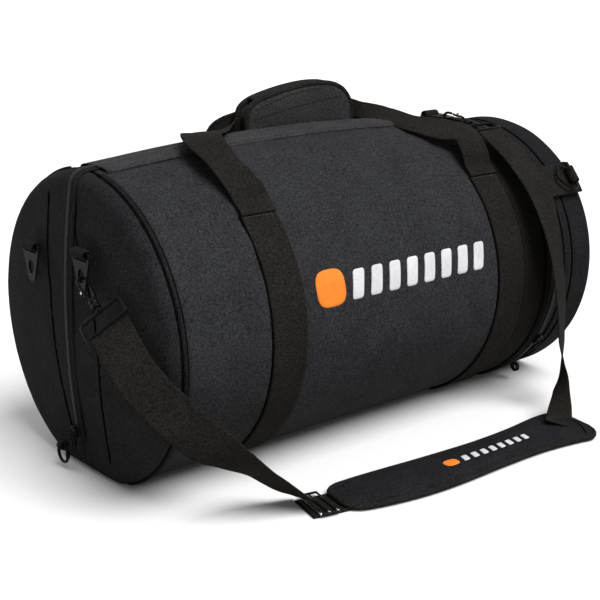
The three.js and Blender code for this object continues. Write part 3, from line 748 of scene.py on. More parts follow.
def edge_strip(name, outer, inner, y):
    """The bound edge of the padded wall along the middle slit, from the cloth to the lining."""
    rows = []
    for share in (0.0, 0.12, 0.5, 0.88, 1.0):
        bulge = y * (1.0 + (0.0 if share in (0.0, 1.0) else 0.6))
        rows.append([Vector((x0 + (x1 - x0) * share, bulge, z0 + (z1 - z0) * share))
                     for (x0, z0), (x1, z1) in zip(outer, inner)])
    return thicken(grid(name, rows, TAPE_CLOTH), EDGING_T, 0.0)


def slit_line(d, x_first=X_COLLAR):
    """The middle slit's line in the x-z plane at depth d: along the top, over the edge, down the cap."""
    top = [(x, around(x, 0, d).z) for x in steps(x_first, X_CAP_RIM, 40)[:-1]]
    down = [(x, end_point(x, r, 0, d).z) for x, r in cap_profile(d)]
    up = [(x, end_point(x, r, 180, d).z) for x, r in cap_profile(d)[:-1]][::-1]
    return top + down + up


for side, sign, body in HALVES:
    wall = tube_cloth(f"{side}_wall_lining", LINING, X_PIPING, X_COLLAR, *BARREL_ARCS[side], lining_depth,
                      LINING_D, step=3)
    face = end_cloth(f"{side}_cap_lining", LINING, cap_profile(LINING_D), LINING_D, *HALF_TURNS[side], still,
                     split=sign)
    lining = join_pieces(f"lining_{side}_cloth", [thicken(wall, LINING_T), thicken(face, LINING_T)])
    place(lining, body, "lining", f"lining_{side}")
    strip = edge_strip(f"slit_binding_{side}", slit_line(-0.0008), slit_line(-WALL + 0.0006), sign * 0.0003)
    place(strip, body, "zip_tape")

collar_lining = full_tube("collar_lining_cloth", LINING, X_COLLAR + GAP, X_LID_ZIP - GAP, lining_depth,
                          LINING_D)
place(thicken(collar_lining, LINING_T), "case_front", "lining", "lining_collar")
lid_lining = end_cloth("lid_lining_cloth", LINING, lid_profile(LINING_D), LINING_D, -180, 180, still)
place(thicken(lid_lining, LINING_T), "end_lid", "lining", "lid_lining")

# The strip of cloth at the back of the rim that the lid turns on.
LID_HINGE = 14               # half of its length, in degrees round the rim
hinge_rows = [[around(x, a, 0.0012) for a in spread(90 - LID_HINGE, 90 + LID_HINGE, 2)]
              for x in spread(X_LID_ZIP - 0.013, X_LID_ZIP + 0.013, 0.001)]
lid_hinge = thicken(grid("lid_hinge_cloth", hinge_rows, COLLAR_CLOTH), LINING_T)
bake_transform(lid_hinge)


def ring_edge(name, x, body):
    """The bound rim of the padded wall at the lid's opening."""
    bulge = 0.0012 if x < X_LID_ZIP else -0.0012
    rows = [[around(x - bulge * lift, a, -WALL * share) for a in spread(-180, 180, 3)]
            for share, lift in ((0.05, 0.5), (0.2, 0.0), (0.5, 0.0), (0.8, 0.0), (0.97, 0.5))]
    return place(thicken(grid(name, rows, TAPE_CLOTH), EDGING_T, 0.0), body, "zip_tape")


ring_edge("collar_rim_binding", X_LID_ZIP - 0.0005, "case_front")
ring_edge("lid_rim_binding", X_LID_ZIP + 0.0005, "end_lid")

# ---------------------------------------------------------------- piping


def arc(x, a0, a1, d):
    """Points round the barrel from angle a0 to a1."""
    return [around(x, a, d) for a in spread(a0, a1, 2.0)]


def down_side(sign, start):
    """The arc down one side, from start degrees off the top to the edge of the flat underside."""
    return sorted((sign * start, sign * ROUND_EDGE))


for side, sign, body in HALVES:
    cord = tube(f"cap_piping_{side}_cord", arc(X_PIPING, *down_side(sign, 11), 0.0004), 0.0026, PIPING)
    place(cord, body, "piping", f"cap_piping_{side}")
# Near-black cords on both sides of the cap's piping: painted shadow in the grooves beside it.
for side, sign, body in HALVES:
    lines = [arc(X_PIPING + offset, *down_side(sign, 9), -0.0006) for offset in (-0.0042, 0.0040)]
    groove_shadows = [tube(f"groove_{side}_{i}", line, 0.0013, SEAM_SHADOW, sides=6) for i, line in enumerate(lines)]
    place(join_pieces(f"cap_piping_{side}_grooves", groove_shadows), body, "piping")
for name, x, d, radius, body in (("collar_piping", X_COLLAR_PIPE, 0.0014, 0.0024, "case_front"),
                                 ("lid_piping", X_LID_PIPE, 0.0004, 0.0016, "end_lid")):
    cord = tube(f"{name}_cord", arc(x, -ROUND_EDGE, ROUND_EDGE, d), radius, PIPING)
    place(cord, body, "piping", name)
# A near-black cord on the lid's plain seam: painted shade of the seam's groove.
lid_seam = tube("lid_seam_cord", arc(X_LID_SEAM, -ROUND_EDGE, ROUND_EDGE, -0.0006), 0.0012, SEAM_SHADOW)
place(lid_seam, "end_lid", "piping")

# ---------------------------------------------------------------- stitches


# The faces of one stitch. Its points are the near end, two sides, the crest, two more sides and the far end.
STITCH_FACES = ((0, 1, 3), (0, 3, 2), (1, 4, 3), (2, 3, 5), (4, 6, 3), (5, 3, 6), (0, 2, 1), (1, 2, 5),
                (1, 5, 4), (4, 5, 6))


def stitches(name, path, out, material=THREAD, length=0.0030, gap=0.0012, radius=0.00035):
    """A row of single stitches along a path. out gives the outward direction at each of its points."""
    points, faces = [], []
    lengths = lengths_along(path)

    def at(s):
        k, share = locate(lengths, s)
        return path[k].lerp(path[k + 1], share), out[k].lerp(out[k + 1], share).normalized()

    reached = 0.0
    while reached + length <= lengths[-1]:
        (p, up), (q, _) = at(reached), at(reached + length)
        side = up.cross((q - p).normalized()).normalized() * radius
        lift = up * radius
        inset = (q - p) * 0.22
        raised = lift * 0.6
        base = len(points)
        points += [p - lift * 0.3, p + inset + side + raised, p + inset - side + raised,
                   (p + q) / 2 + lift * 1.6, q - inset + side + raised, q - inset - side + raised,
                   q - lift * 0.3]
        faces += [tuple(base + k for k in face) for face in STITCH_FACES]
        reached += length + gap
    return make(name, points, faces, material, [(p.x, p.z) for p in points])


def stitch_rows(name, body, slot, rows, material=THREAD):
    """Several rows of stitches as one piece. Each row is (path, out)."""
    made = [stitches(f"{name}_{i}", path, out, material) for i, (path, out) in enumerate(rows)]
    return place(join_pieces(name, made), body, slot)


def arc_row(x, a0, a1, d):
    """A row of stitches round the barrel."""
    return arc(x, a0, a1, d), [outward(a) for a in spread(a0, a1, 2.0)]


# ---------------------------------------------------------------- webbing


def over_barrel(p):
    """Webbing on the barrel rides up with its swelling. Well clear of the barrel, it stays where it is."""
    radius = math.hypot(p.y, p.z - AXIS_Z)
    angle = math.degrees(math.atan2(p.y, p.z - AXIS_Z))
    if radius < R - 0.002 or radius > R + LYING:
        return p
    return p + outward(angle) * fullness(p.x, angle) * (1 - (radius - R) / LYING)


def across_webbing(columns, edge, groove):
    """The webbing's ribs, as (place across its width from -1 to 1, share of its thickness)."""
    ribs = []
    for i, w in enumerate(steps(-1, 1, columns)):
        rib = 1.0 if abs(w) > 0.9 or i % 2 == 0 else groove
        ribs.append((w, edge if i in (0, columns) else rib))
    return ribs


def ribbon(name, stations, narrow):
    """Flat webbing through stations of (where it is, which way its width runs). narrow gives, by station, the
    share of the full width that is left where it is gathered."""
    points = [over_barrel(Vector(p) * MM) for p, _ in stations]
    widths = [Vector(w).normalized() for _, w in stations]
    shares = [Vector((narrow.get(i, 1.0), 0, 0)) for i in range(len(stations))]
    profile = across_webbing(26, 0.55, 0.94)
    outline = profile + [(w, -t) for w, t in reversed(profile)]
    rows, uvs = [], []
    length = 0.0
    for t in steps(0, 1, (len(stations) - 1) * 10):
        at = catmull(points, t)
        if rows:
            length += (at - previous).length
        previous = at
        along = tangent(points, t, 1e-3)
        across = catmull(widths, t)
        across = (across - along * across.dot(along)).normalized()
        half = WEBBING * catmull(shares, t).x / 2
        out = along.cross(across)
        rows.append([at + across * (w * half) + out * (h * WEB_T / 2) for w, h in outline])
        uvs += [(w * half + 0.2, length) for w, _ in outline]
    piece = grid(name, rows, WEB_CLOTH, closed=True, uvs=uvs)
    return cap_ends(piece, len(outline)), rows


def ribbon_rows(rows, share, lift=0.0001):
    """The path of a stitch line on a ribbon's outer face, share -1 to 1 across its width."""
    n = len(rows[0]) // 2
    k = round((share + 1) / 2 * (n - 1))
    path, out = [], []
    for row in rows:
        top, under = row[k], row[2 * n - 1 - k]
        normal = (top - under).normalized()
        path.append(top + normal * lift)
        out.append(normal)
    return path, out


def band(name, x, a0, a1, d, body, node_name):
    """Webbing sewn round the barrel, with its two rows of stitches."""
    angles = spread(a0, a1, 2.5)
    profile = [(x + w * WEBBING / 2, w, h) for w, h in across_webbing(20, 0.4, 0.92)]
    outline = profile + [(u, w, -h) for u, w, h in reversed(profile)]
    rows = [[around(u, a, d + WEB_T / 2 + h * WEB_T / 2 + 0.0004 * bump_noise(x, a * 0.02, w, 0.2))
             for u, w, h in outline] for a in angles]
    uvs = [(p.x + 0.4, math.radians(a) * R + 0.8) for a, row in zip(angles, rows) for p in row]
    piece = cap_ends(grid(name, rows, WEB_CLOTH, closed=True, uvs=uvs), len(outline))
    place(piece, body, "webbing", node_name)
    lines = [arc_row(x + side * (WEBBING / 2 - 0.004), a0, a1, d + WEB_T + 0.0002) for side in (-1, 1)]
    stitch_rows(f"{name}_stitches", body, "webbing", lines)


BAND_D = 0.0008              # the bands lie this far above the barrel's cloth
BAND_END = ROOT_ANGLE - 0.9  # where they end under the handles' sewn ends, in degrees from the top
BANDS = (("left", X_LEFT_BAND), ("right", X_RIGHT_BAND))
for label, x in BANDS:
    for side, sign, body in HALVES:
        name = f"{label}_band_{side}"
        band(f"{name}_webbing", x, *down_side(sign, BAND_END), BAND_D, body, name)
    # A near-black cord along the cap-side edge of each band: painted shadow of the gap beside the band.
    for side, sign, body in HALVES:
        edge = arc(x - WEBBING / 2 - 0.0008, *down_side(sign, ROOT_ANGLE), 0.0006)
        place(tube(f"{label}_band_{side}_edge", edge, 0.0009, SEAM_SHADOW, sides=6), body, "webbing")

# The handles, in millimetres.
LEFT_X, RIGHT_X = round(X_LEFT_BAND / MM), round(X_RIGHT_BAND / MM)
PIVOT_Y, PIVOT_Z = 128.8, 326.1    # where a handle bends, beside its sewn end
WRAP_X0, WRAP_X1 = -68, 116        # the ends of the padded wrap
GRIP_Y, GRIP_Z = 54, 404.5         # the front handle's grip inside the wrap
BACK_GRIP_Y = 73                   # the back handle's grip behind the wrap
GRIP_XS = (WRAP_X0 - 2, WRAP_X0 + 20, 24, WRAP_X1 - 20, WRAP_X1 + 2)
GRIP_ZS = (390, 394, GRIP_Z - 5, GRIP_Z - 4, GRIP_Z - 4)
ROOT_R = 194.9                     # the sewn end of a handle lies on top of its band
ROOT_Y = ROOT_R * math.sin(math.radians(ROOT_ANGLE + 0.6))
ROOT_Z = AXIS_Z / MM + ROOT_R * math.cos(math.radians(ROOT_ANGLE + 0.6))


def sewn_end(x, sign, across=1):
    """The first stations of a handle: on its band, where it bends, and just above."""
    places = ((sign * ROOT_Y, ROOT_Z), (sign * PIVOT_Y, PIVOT_Z), (sign * (PIVOT_Y - 6), PIVOT_Z + 5.3))
    return [((x, y, z), (across, 0, 0)) for y, z in places]


FRONT_HANDLE = [
    *sewn_end(LEFT_X, -1),
    ((-194, -112, 350), (1, 0, 0)),
    ((-203, -84, 378), (1, 0.1, 0)),
    ((-202, -50, 395), (0.95, -0.3, 0)),
    ((-185, -18, 399), (0.8, -0.6, 0)),
    ((-158, 10, 394), (0.72, -0.69, 0.05)),
    ((-126, 34, 391), (0.66, -0.74, 0.1)),
    ((-98, 49, 389), (0.5, -0.6, 0.5)),
    *(((x, GRIP_Y, z), (0, 0, 1)) for x, z in zip(GRIP_XS, GRIP_ZS)),
    ((130, 34, 396), (0.35, 0.4, 0.85)),
    ((139, 2, 394), (0.6, 0.65, 0.42)),
    ((146, -38, 383), (0.55, 0.75, 0.38)),
    ((170, -74, 379), (0.7, 0.55, 0.4)),
    ((194, -98, 373), (1, 0.1, 0.1)),
    ((197, -116, 350), (1, 0, 0)),
    *sewn_end(RIGHT_X, -1)[::-1],
]
BACK_HANDLE = [
    *sewn_end(LEFT_X, 1),
    ((-187, 106, 347), (1, 0.1, 0)),
    ((-171, 101, 352), (0.8, 0.5, 0)),
    ((-142, 95, 356), (0.6, 0.7, 0)),
    ((-112, BACK_GRIP_Y + 12, 362), (0.4, 0.8, 0.1)),
    ((-78, BACK_GRIP_Y, GRIP_Z - 12), (0, 0, 1)),
    ((126, BACK_GRIP_Y, GRIP_Z - 4), (0, 0, 1)),
    ((150, BACK_GRIP_Y + 5, 390), (-0.3, 0.5, 0.8)),
    ((180, 88, 374), (-0.7, 0.6, 0.3)),
    ((197, 99, 358), (-0.95, 0.3, 0.1)),
    ((198, 110, 345), (-1, 0.05, 0)),
    *sewn_end(RIGHT_X, 1, -1)[::-1],
]
FRONT_NARROW = {8: 0.8, 9: 0.55, **dict.fromkeys(range(10, 16), 0.5), 16: 0.6, 17: 0.8}
BACK_NARROW = {5: 0.7, 6: 0.5, 7: 0.45, 8: 0.45, 9: 0.5, 10: 0.8}
SEWN_ROWS = 22               # rows at each end of a handle that carry no stitches along its edges
for label, stations, narrow, half, body, sign in (
        ("front", FRONT_HANDLE, FRONT_NARROW, "case_front", "front_carry_handle", -1),
        ("back", BACK_HANDLE, BACK_NARROW, "back_half", "back_carry_handle", 1)):
    strap, rows = ribbon(f"{label}_handle_webbing", stations, narrow)
    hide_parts(f"{label}_handle")
    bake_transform(strap)
    lines = [ribbon_rows(rows[SEWN_ROWS:-SEWN_ROWS], share) for share in (-0.84, 0.84)]
    stitch_rows(f"{label}_handle_stitches", body, "webbing", lines)


def root_line(name, x, sign, body):
    """The cross stitch that holds a handle to its band."""
    angle = sign * (ROOT_ANGLE + 1.2)
    path = [around(x + w * 0.022, angle, BAND_D + WEB_T + 0.0003) for w in (-1, -0.5, 0, 0.5, 1)]
    stitch_rows(name, body, "webbing", [(path, [outward(angle)] * len(path))], LIGHT_THREAD)


for label, x in BANDS:
    for side, sign, body in HALVES:
        root_line(f"{label}_{side}_root_stitches", x, sign, body)

# ---------------------------------------------------------------- the padded wrap on the grip
WRAP_BOTTOM, WRAP_TOP = 380.0, 439.0
LEAF = 9.0                   # thickness of each padded leaf
EDGE_POINTS = 73             # the points of a leaf's outline that are not on its straight lower edge


def wrap_outline(bottom, top, count=18):
    """A leaf in the x-z plane: a low rounded corner at the left, rising to a full one at the right."""
    end = WRAP_X1 - 2
    points = [(WRAP_X0, bottom), (WRAP_X0, bottom + 16), (WRAP_X0 + 3, top - 27), (WRAP_X0 + 14, top - 18),
              (WRAP_X0 + 50, top - 8), (WRAP_X0 + 92, top - 1.5), (WRAP_X0 + 124, top),
              (WRAP_X1 - 34, top - 3), (WRAP_X1 - 14, top - 13), (end, top - 30), (WRAP_X1, bottom + 8),
              (end, bottom)]
    upper = smooth_path([(x, 0, z) for x, z in points], 4 * count + 1)
    return [(p.x, p.z) for p in upper] + [(x, bottom) for x in steps(end, WRAP_X0, count)[1:-1]]


def padded_leaf(name, outline, y0, y1, material, crown):
    """A padded panel between y0 and y1, thin at its bound edge and full in the middle."""
    cx = sum(p[0] for p in outline) / len(outline)
    cz = sum(p[1] for p in outline) / len(outline)
    middle = (y0 + y1) / 2
    shares = (1.0, 0.985, 0.95, 0.88, 0.76, 0.58, 0.36, 0.14)
    sides = {-1: [], 1: []}
    for side, rings in sides.items():
        for share in shares:
            fill = (1 - share ** 6) ** 0.5
            half = abs(y1 - y0) / 2 * (0.36 + 0.64 * fill)
            ring = []
            for x, z in outline:
                px, pz = cx + (x - cx) * share, cz + (z - cz) * share
                puff = crown * (1 - share) * bump_noise(px, pz, side * 3.0, 28.0)
                ring.append(Vector((px, middle + side * (half + puff), pz)) * MM)
            rings.append(ring)
    rows = sides[-1][::-1] + sides[1]
    piece = grid(name, rows, material, closed=True, uvs=[(p.x, p.z) for row in rows for p in row])
    return cap_ends(piece, len(outline))


FLAP_OUTLINE = wrap_outline(WRAP_BOTTOM + 2.5, WRAP_TOP - 1)
BACK_OUTLINE = wrap_outline(WRAP_BOTTOM, WRAP_TOP - 1)
flap = padded_leaf("wrap_flap_pad", FLAP_OUTLINE, GRIP_Y - 5 - LEAF, GRIP_Y - 5.4, WRAP_CLOTH, 0.4)
leaf = padded_leaf("wrap_back_leaf", BACK_OUTLINE, GRIP_Y + 5, GRIP_Y + 5 + LEAF, WRAP_CLOTH, 0.4)


def top_of_outline(x):
    """The height of the wrap's top edge at x."""
    return max(z for px, z in BACK_OUTLINE if abs(px - x) < 5)


bridge_xs = steps(WRAP_X0 + 16, WRAP_X1 - 18, 30)
BRIDGE_SECTION = ((11, -7), (10, -2.5), (5, 0.2), (-1, 0.2), (-4.6, -1.8))
bridge_rows = [[Vector((x, GRIP_Y + y, top_of_outline(x) + lift)) * MM for x in bridge_xs]
               for y, lift in BRIDGE_SECTION]
top_bridge = grid("wrap_top_bridge", bridge_rows, BINDING)
wrap_back = join_pieces("wrap_back_pad", [leaf, thicken(top_bridge, 0.003, -1.0)])
place(wrap_back, "front_carry_handle", "canvas", "wrap_back")
place(flap, "handle_wrap_flap", "canvas", "wrap_flap")


def leaf_binding(name, outline, y, body):
    """The webbing binding round a leaf's sides and top."""
    path = [Vector((x, y, z)) * MM for x, z in outline[:EDGE_POINTS]]
    cord = tube(name, path, 0.0040, BINDING, sides=12)
    return place(cord, body, "webbing")


leaf_binding("wrap_flap_binding", FLAP_OUTLINE, GRIP_Y - 9.8, "handle_wrap_flap")
leaf_binding("wrap_back_binding", BACK_OUTLINE, GRIP_Y + 9.5, "front_carry_handle")


def flap_row(points):
    """A row of stitches on the flap's outer face, through points of (x, z)."""
    path = smooth_path([(x * MM, (GRIP_Y - 14.3) * MM, z * MM) for x, z in points], 60)
    return path, [Vector((0, -1, 0))] * len(path)


LOWER_ROW = ((WRAP_X0 + 9, 399), (WRAP_X0 + 60, 407), (WRAP_X1 - 52, 416), (WRAP_X1 - 22, 419))
UPPER_ROW = ((WRAP_X0 + 12, 411), (WRAP_X0 + 56, 423), (WRAP_X0 + 100, 431), (WRAP_X0 + 124, 431.5))
flap_lines = [flap_row(LOWER_ROW), flap_row(UPPER_ROW)]
stitch_rows("wrap_flap_stitches", "handle_wrap_flap", "canvas", flap_lines, SEAM_SHADOW)

# ---------------------------------------------------------------- zips
ZIP_HALF = 0.012             # half the width of a zip's two tapes


def slit_frame(d, x_first):
    """Points and outward directions down the slit's line at depth d."""
    line = [Vector((x, 0, z)) for x, z in slit_line(d, x_first)]
    inner = [Vector((x, 0, z)) for x, z in slit_line(d - 0.004, x_first)]
    return line, [(a - b).normalized() for a, b in zip(line, inner)]


def coil_teeth(name, path, out, across, sign):
    """One side of a coil zip: a spring of small loops along the path."""
    points, faces = [], []
    lengths = lengths_along(path)
    pitch = 0.0022
    for i in range(int(lengths[-1] / pitch)):
        k, share = locate(lengths, (i + 0.5) * pitch)
        p = path[k].lerp(path[k + 1], share)
        up = out[k].lerp(out[k + 1], share).normalized()
        half = (path[k + 1] - path[k]).normalized() * (pitch * 0.33)
        base = len(points)
        for u, lift in ((0.0003, 0.0), (0.0004, 0.9), (0.0016, 1.0), (0.0026, 0.7), (0.0028, 0.0)):
            centre = p + across * (sign * u) + up * (lift * 0.0016)
            points += [centre - half, centre + half]
        for a in range(base, base + 8, 2):
            faces.append((a, a + 1, a + 3, a + 2))
        faces.append((base, base + 8, base + 9, base + 1))
        faces.append((base, base + 2, base + 4, base + 6, base + 8))
        faces.append((base + 1, base + 9, base + 7, base + 5, base + 3))
    return make(name, points, faces, COIL, [(p.x, p.z) for p in points], smooth=False)


def crop(line, out, keep):
    """The part of a line, and of its outward directions, that is kept."""
    kept = [(p, o) for p, o in zip(line, out) if keep(p)]
    return [p for p, _ in kept], [o for _, o in kept]


ZIP_END_Z = AXIS_Z - 0.140   # the main zip ends this high on the cap
TAPE_SECTION = ((0.0003, 0.0006), (0.0030, 0.0006), (0.0042, 0.0003), (0.0085, 0.0002), (0.0105, 0.0001),
                (ZIP_HALF, -0.0006))
for side, sign, body in HALVES:
    line, out = slit_frame(0.0008, X_COLLAR - 0.004)
    line, out = crop(line, out, lambda p: p.z > ZIP_END_Z)
    rows = [[p + Vector((0, sign * y, 0)) + up * (lift - 0.5 * y * y / R + 0.0004)
             for y, lift in TAPE_SECTION] for p, up in zip(line, out)]
    tape = thicken(grid(f"main_zip_tape_{side}_cloth", rows, TAPE_CLOTH), TAPE_T, 0.0)
    coil_line = [p + u * 0.001 for p, u in zip(line, out)]
    teeth = coil_teeth(f"main_zip_teeth_{side}", coil_line, out, Vector((0, 1, 0)), sign)
    whole = join_pieces(f"main_zip_{side}_side", [tape, teeth])
    place(whole, body, "zip_tape", f"main_zip_tape_{side}")
    seam_path = [p + Vector((0, sign * 0.0095, 0)) + u * 0.0010 for p, u in zip(line, out)]
    stitch_rows(f"main_zip_stitches_{side}", body, "zip_tape", [(seam_path, out)])

TOP_BAND = 0.030             # width of the raised cloth band on each side of the main zip
TOP_BAND_SECTION = ((0.03, 0.0020), (0.05, 0.0036), (0.14, 0.0044), (0.24, 0.0042), (0.29, 0.0030),
                    (0.34, 0.0040), (0.60, 0.0042), (0.80, 0.0040), (0.93, 0.0034), (0.985, 0.0020),
                    (1.0, 0.0006))
for side, sign, body in HALVES:
    rows = [[around(x, sign * math.degrees(share * TOP_BAND / R),
                    lift - 0.0006 + 0.0003 * bump_noise(x, share, sign, 0.05))
             for share, lift in TOP_BAND_SECTION]
            for x in spread(X_PIPING + 0.010, X_COLLAR - 0.004, 0.008)]
    cover = faces_out(grid(f"top_band_{side}_cloth", rows, BAND_CLOTH), from_axis)
    place(thicken(cover, 0.0006), body, "zip_tape", f"top_band_{side}")
    angle = sign * math.degrees(0.9 * TOP_BAND / R)
    path = [around(x, angle, 0.0036) for x in spread(X_PIPING + 0.012, X_COLLAR - 0.006, 0.01)]
    stitch_rows(f"top_band_stitches_{side}", body, "zip_tape", [(path, [outward(sign * 8)] * len(path))])

LID_TAPE_SECTION = ((0.0, 0.0012), (0.0030, 0.0012), (0.0040, 0.0009), (0.0075, 0.0009), (0.0095, 0.0006),
                    (0.0110, 0.0))
for name, away, body in (("lid_zip_tape_collar_side", -1, "case_front"),
                         ("lid_zip_tape_lid_side", 1, "end_lid")):
    x = X_LID_ZIP + away * GAP
    angles = spread(-ROUND_EDGE, ROUND_EDGE, 2.0)
    rows = [[around(x + away * offset, a, lift + 0.0004) for a in angles]
            for offset, lift in LID_TAPE_SECTION]
    tape = faces_out(grid(f"{name}_cloth", rows, TAPE_CLOTH), from_axis)
    thicken(tape, TAPE_T, 0.0)
    path, out = arc_row(x, -ROUND_EDGE, ROUND_EDGE, 0.0020)
    teeth = coil_teeth(f"{name}_teeth", path, out, Vector((1, 0, 0)), away)
    place(join_pieces(f"{name}_side", [tape, teeth]), body, "zip_tape", name)
    row = arc_row(x + away * 0.0085, -ROUND_EDGE, ROUND_EDGE, 0.0013)
    stitch_rows(f"{name}_stitches", body, "zip_tape", [row])

# ---------------------------------------------------------------- lines on the cap's middle panel


def cap_x(y, z):
    """The cap face's x at a place on it."""
    radius = math.hypot(y, z - AXIS_Z)
    return DOME_CENTRE_X - math.sqrt(DOME_R ** 2 - radius ** 2)


for label, sign, body in HALVES:
    seam = FRONT_SEAM if sign < 0 else BACK_SEAM
    path = []
    for z in spread(0.030, 0.345, 0.006):
        y = seam_y(seam, z)
        radius = math.hypot(y, z - AXIS_Z)
        if radius < EDGE_RING:
            p = Vector((cap_x(y, z), y, z))
            angle = math.degrees(math.atan2(y, z - AXIS_Z))
            path.append(p + cap_relief(p, radius, angle) + Vector((-0.0008, 0, 0)))
    path = smooth_path(path, 120)
    # A near-black cord along each seam of the cap's middle panel: painted shade of the seam's groove.
    place(tube(f"cap_seam_{label}", path, 0.0014, SEAM_SHADOW, sides=8), body, "canvas")
    row = [p + Vector((-0.0003, sign * 0.004, 0)) for p in path]
    stitch_rows(f"cap_seam_stitches_{label}", body, "canvas", [(row, [Vector((-1, 0, 0))] * len(row))])

# ---------------------------------------------------------------- metal fittings


def frame_at(at, out, up):
    """Axes of a hanging fitting: X away from the bag, Z up, at in millimetres."""
    z = Vector(up).normalized()
    x = Vector(out)
    x = (x - z * x.dot(z)).normalized()
    y = z.cross(x)
    placed = Matrix((x, y, z)).transposed().to_4x4()
    placed.translation = Vector(at) * MM
    return placed


def turned(sideways, droop, turn=0.0):
    """A fitting's tilt, in degrees: to the side, away from the bag, and about its own length."""
    angles = ((sideways, "X"), (droop, "Y"), (turn, "Z"))
    tilts = [Matrix.Rotation(math.radians(a), 4, axis) for a, axis in angles]
    return tilts[0] @ tilts[1] @ tilts[2]


def in_frame(where, x, y, z):
    """A point of a fitting, in millimetres of its own frame."""
    return where @ (Vector((x, y, z)) * MM)


def local_tube(name, points, radius, where, material=METAL, closed=False, count=48, sides=12):
    """A bar through points of a fitting, in millimetres. radius is one number, or one for each point."""
    path = [where @ (p * MM) for p in smooth_path(points, count, closed)]
    radii = [r * MM for r in radius] if isinstance(radius, list) else radius * MM
    return tube(name, path, radii, material, closed, sides)


def turned_part(name, profile, x, where):
    """A body of revolution about the fitting's Z axis: profile is (z, radius) in millimetres."""
    sides = 20
    rows = [[in_frame(where, x + r * math.cos(t), r * math.sin(t), z) for t in turns(sides)]
            for z, r in profile]
    return cap_ends(grid(name, rows, METAL, closed=True), sides)


EYE_Z = -28.6                # where a hook's frame sits in its lug: in the eye, below the webbing loop
HOOK_X = 1.5                 # the middle line of a hook's barrel, in its own frame
lug_frames = {
    "front": frame_at((-374, -46, 286), (-1, 0, 0), (0, 0, 1)),
    "back": frame_at((-374, 71, 274), (-1, 0, 0), (0, 0, 1)),
    "top": frame_at((256, 26, 380), (0, 0, 1), (0, 1, 0)),
}


def hook_place(lug, sideways, droop, turn=0.0):
    """The frame of a hook that hangs in the eye of a lug."""
    return lug @ Matrix.Translation(Vector((0, 0, EYE_Z)) * MM) @ turned(sideways, droop, turn)


left_hook = hook_place(lug_frames["front"], 64, -9)
left_ring = hook_place(lug_frames["front"], 64, -9, 42)
right_hook = hook_place(lug_frames["top"], 0, 7)


def outline_plate(name, outer, holes, thickness, where):
    """A flat plate with holes, standing across X, made as a filled curve with rounded edges."""
    rounding = 0.4
    curve = bpy.data.curves.new(name, "CURVE")
    curve.dimensions = "2D"
    curve.fill_mode = "BOTH"
    curve.extrude = (thickness / 2 - rounding) * MM
    curve.bevel_depth = rounding * MM
    curve.bevel_resolution = 2
    for loop in [outer] + holes:
        spline = curve.splines.new("POLY")
        spline.points.add(len(loop) - 1)
        for point, (u, v) in zip(spline.points, loop):
            point.co = (u * MM, v * MM, 0, 1)
        spline.use_cyclic_u = True
    holder = new_object(name + "_curve", curve)
    depsgraph = bpy.context.evaluated_depsgraph_get()
    mesh = bpy.data.meshes.new_from_object(holder.evaluated_get(depsgraph))
    bpy.data.objects.remove(holder)
    upright = Matrix(((0, 0, 1), (1, 0, 0), (0, 1, 0))).to_4x4()
    mesh.transform(where @ upright)
    mesh.materials.clear()
    mesh.materials.append(METAL)
    return fix_normals(weld(new_object(name, mesh)))


def round_loop(cy, rx, ry):
    """An oval hole in a lug, on its middle line."""
    return [(rx * math.cos(t), cy + ry * math.sin(t)) for t in turns(28)]


def rounded_box(x0, x1, y0, y1, r):
    """A rectangle's outline with rounded corners."""
    corners = ((x1 - r, y1 - r, 0), (x0 + r, y1 - r, 90), (x0 + r, y0 + r, 180), (x1 - r, y0 + r, 270))
    return [(cx + r * math.cos(math.radians(a + t)), cy + r * math.sin(math.radians(a + t)))
            for cx, cy, a in corners for t in (0, 30, 60, 90)]


def lug_plate(name, where):
    """A lug: a straight bar with a slot for the webbing, narrowing to a round tip with an eye."""
    tip = [(8.5 * math.cos(t), -36 + 8.5 * math.sin(t)) for t in steps(math.pi, 2 * math.pi, 10)]
    outer = [(-17, 2), (-18, 1), (-18, -6.5)] + tip + [(18, -6.5), (18, 1), (17, 2)]
    holes = [rounded_box(-14.5, 14.5, -8.2, -1.5, 1.2), round_loop(-26, 6.6, 8.6)]
    return outline_plate(name, outer, holes, 2.5, where)


def webbing_roll(name, width, where):
    """A short loop of webbing round a bar, seen as a roll."""
    def ring(y, rx, rz):
        return [in_frame(where, rx * math.cos(t), y, rz * math.sin(t)) for t in turns(24)]

    half = width / 2
    swells = [0.93] + [1.0] * 11 + [0.93]
    outer = [ring(y, 7 * swell, 6.2 * swell) for y, swell in zip(steps(-half, half, 12), swells)]
    rows = outer + [ring(half, 4.4, 3.8), ring(-half, 4.4, 3.8), outer[0]]
    return fix_normals(weld(grid(name, rows, WEB_CLOTH, closed=True)))


for label, body, lug_body in (("front", "case_front", "case_front"), ("back", "back_half", "back_lug"),
                              ("top", "case_front", "case_front")):
    where = lug_frames[label]
    place(webbing_roll(f"{label}_lug_webbing", 26, where), body, "webbing", f"{label}_lug_loop")
    place(lug_plate(f"{label}_lug", where), lug_body, "black_metal", f"{label}_lug_plate")


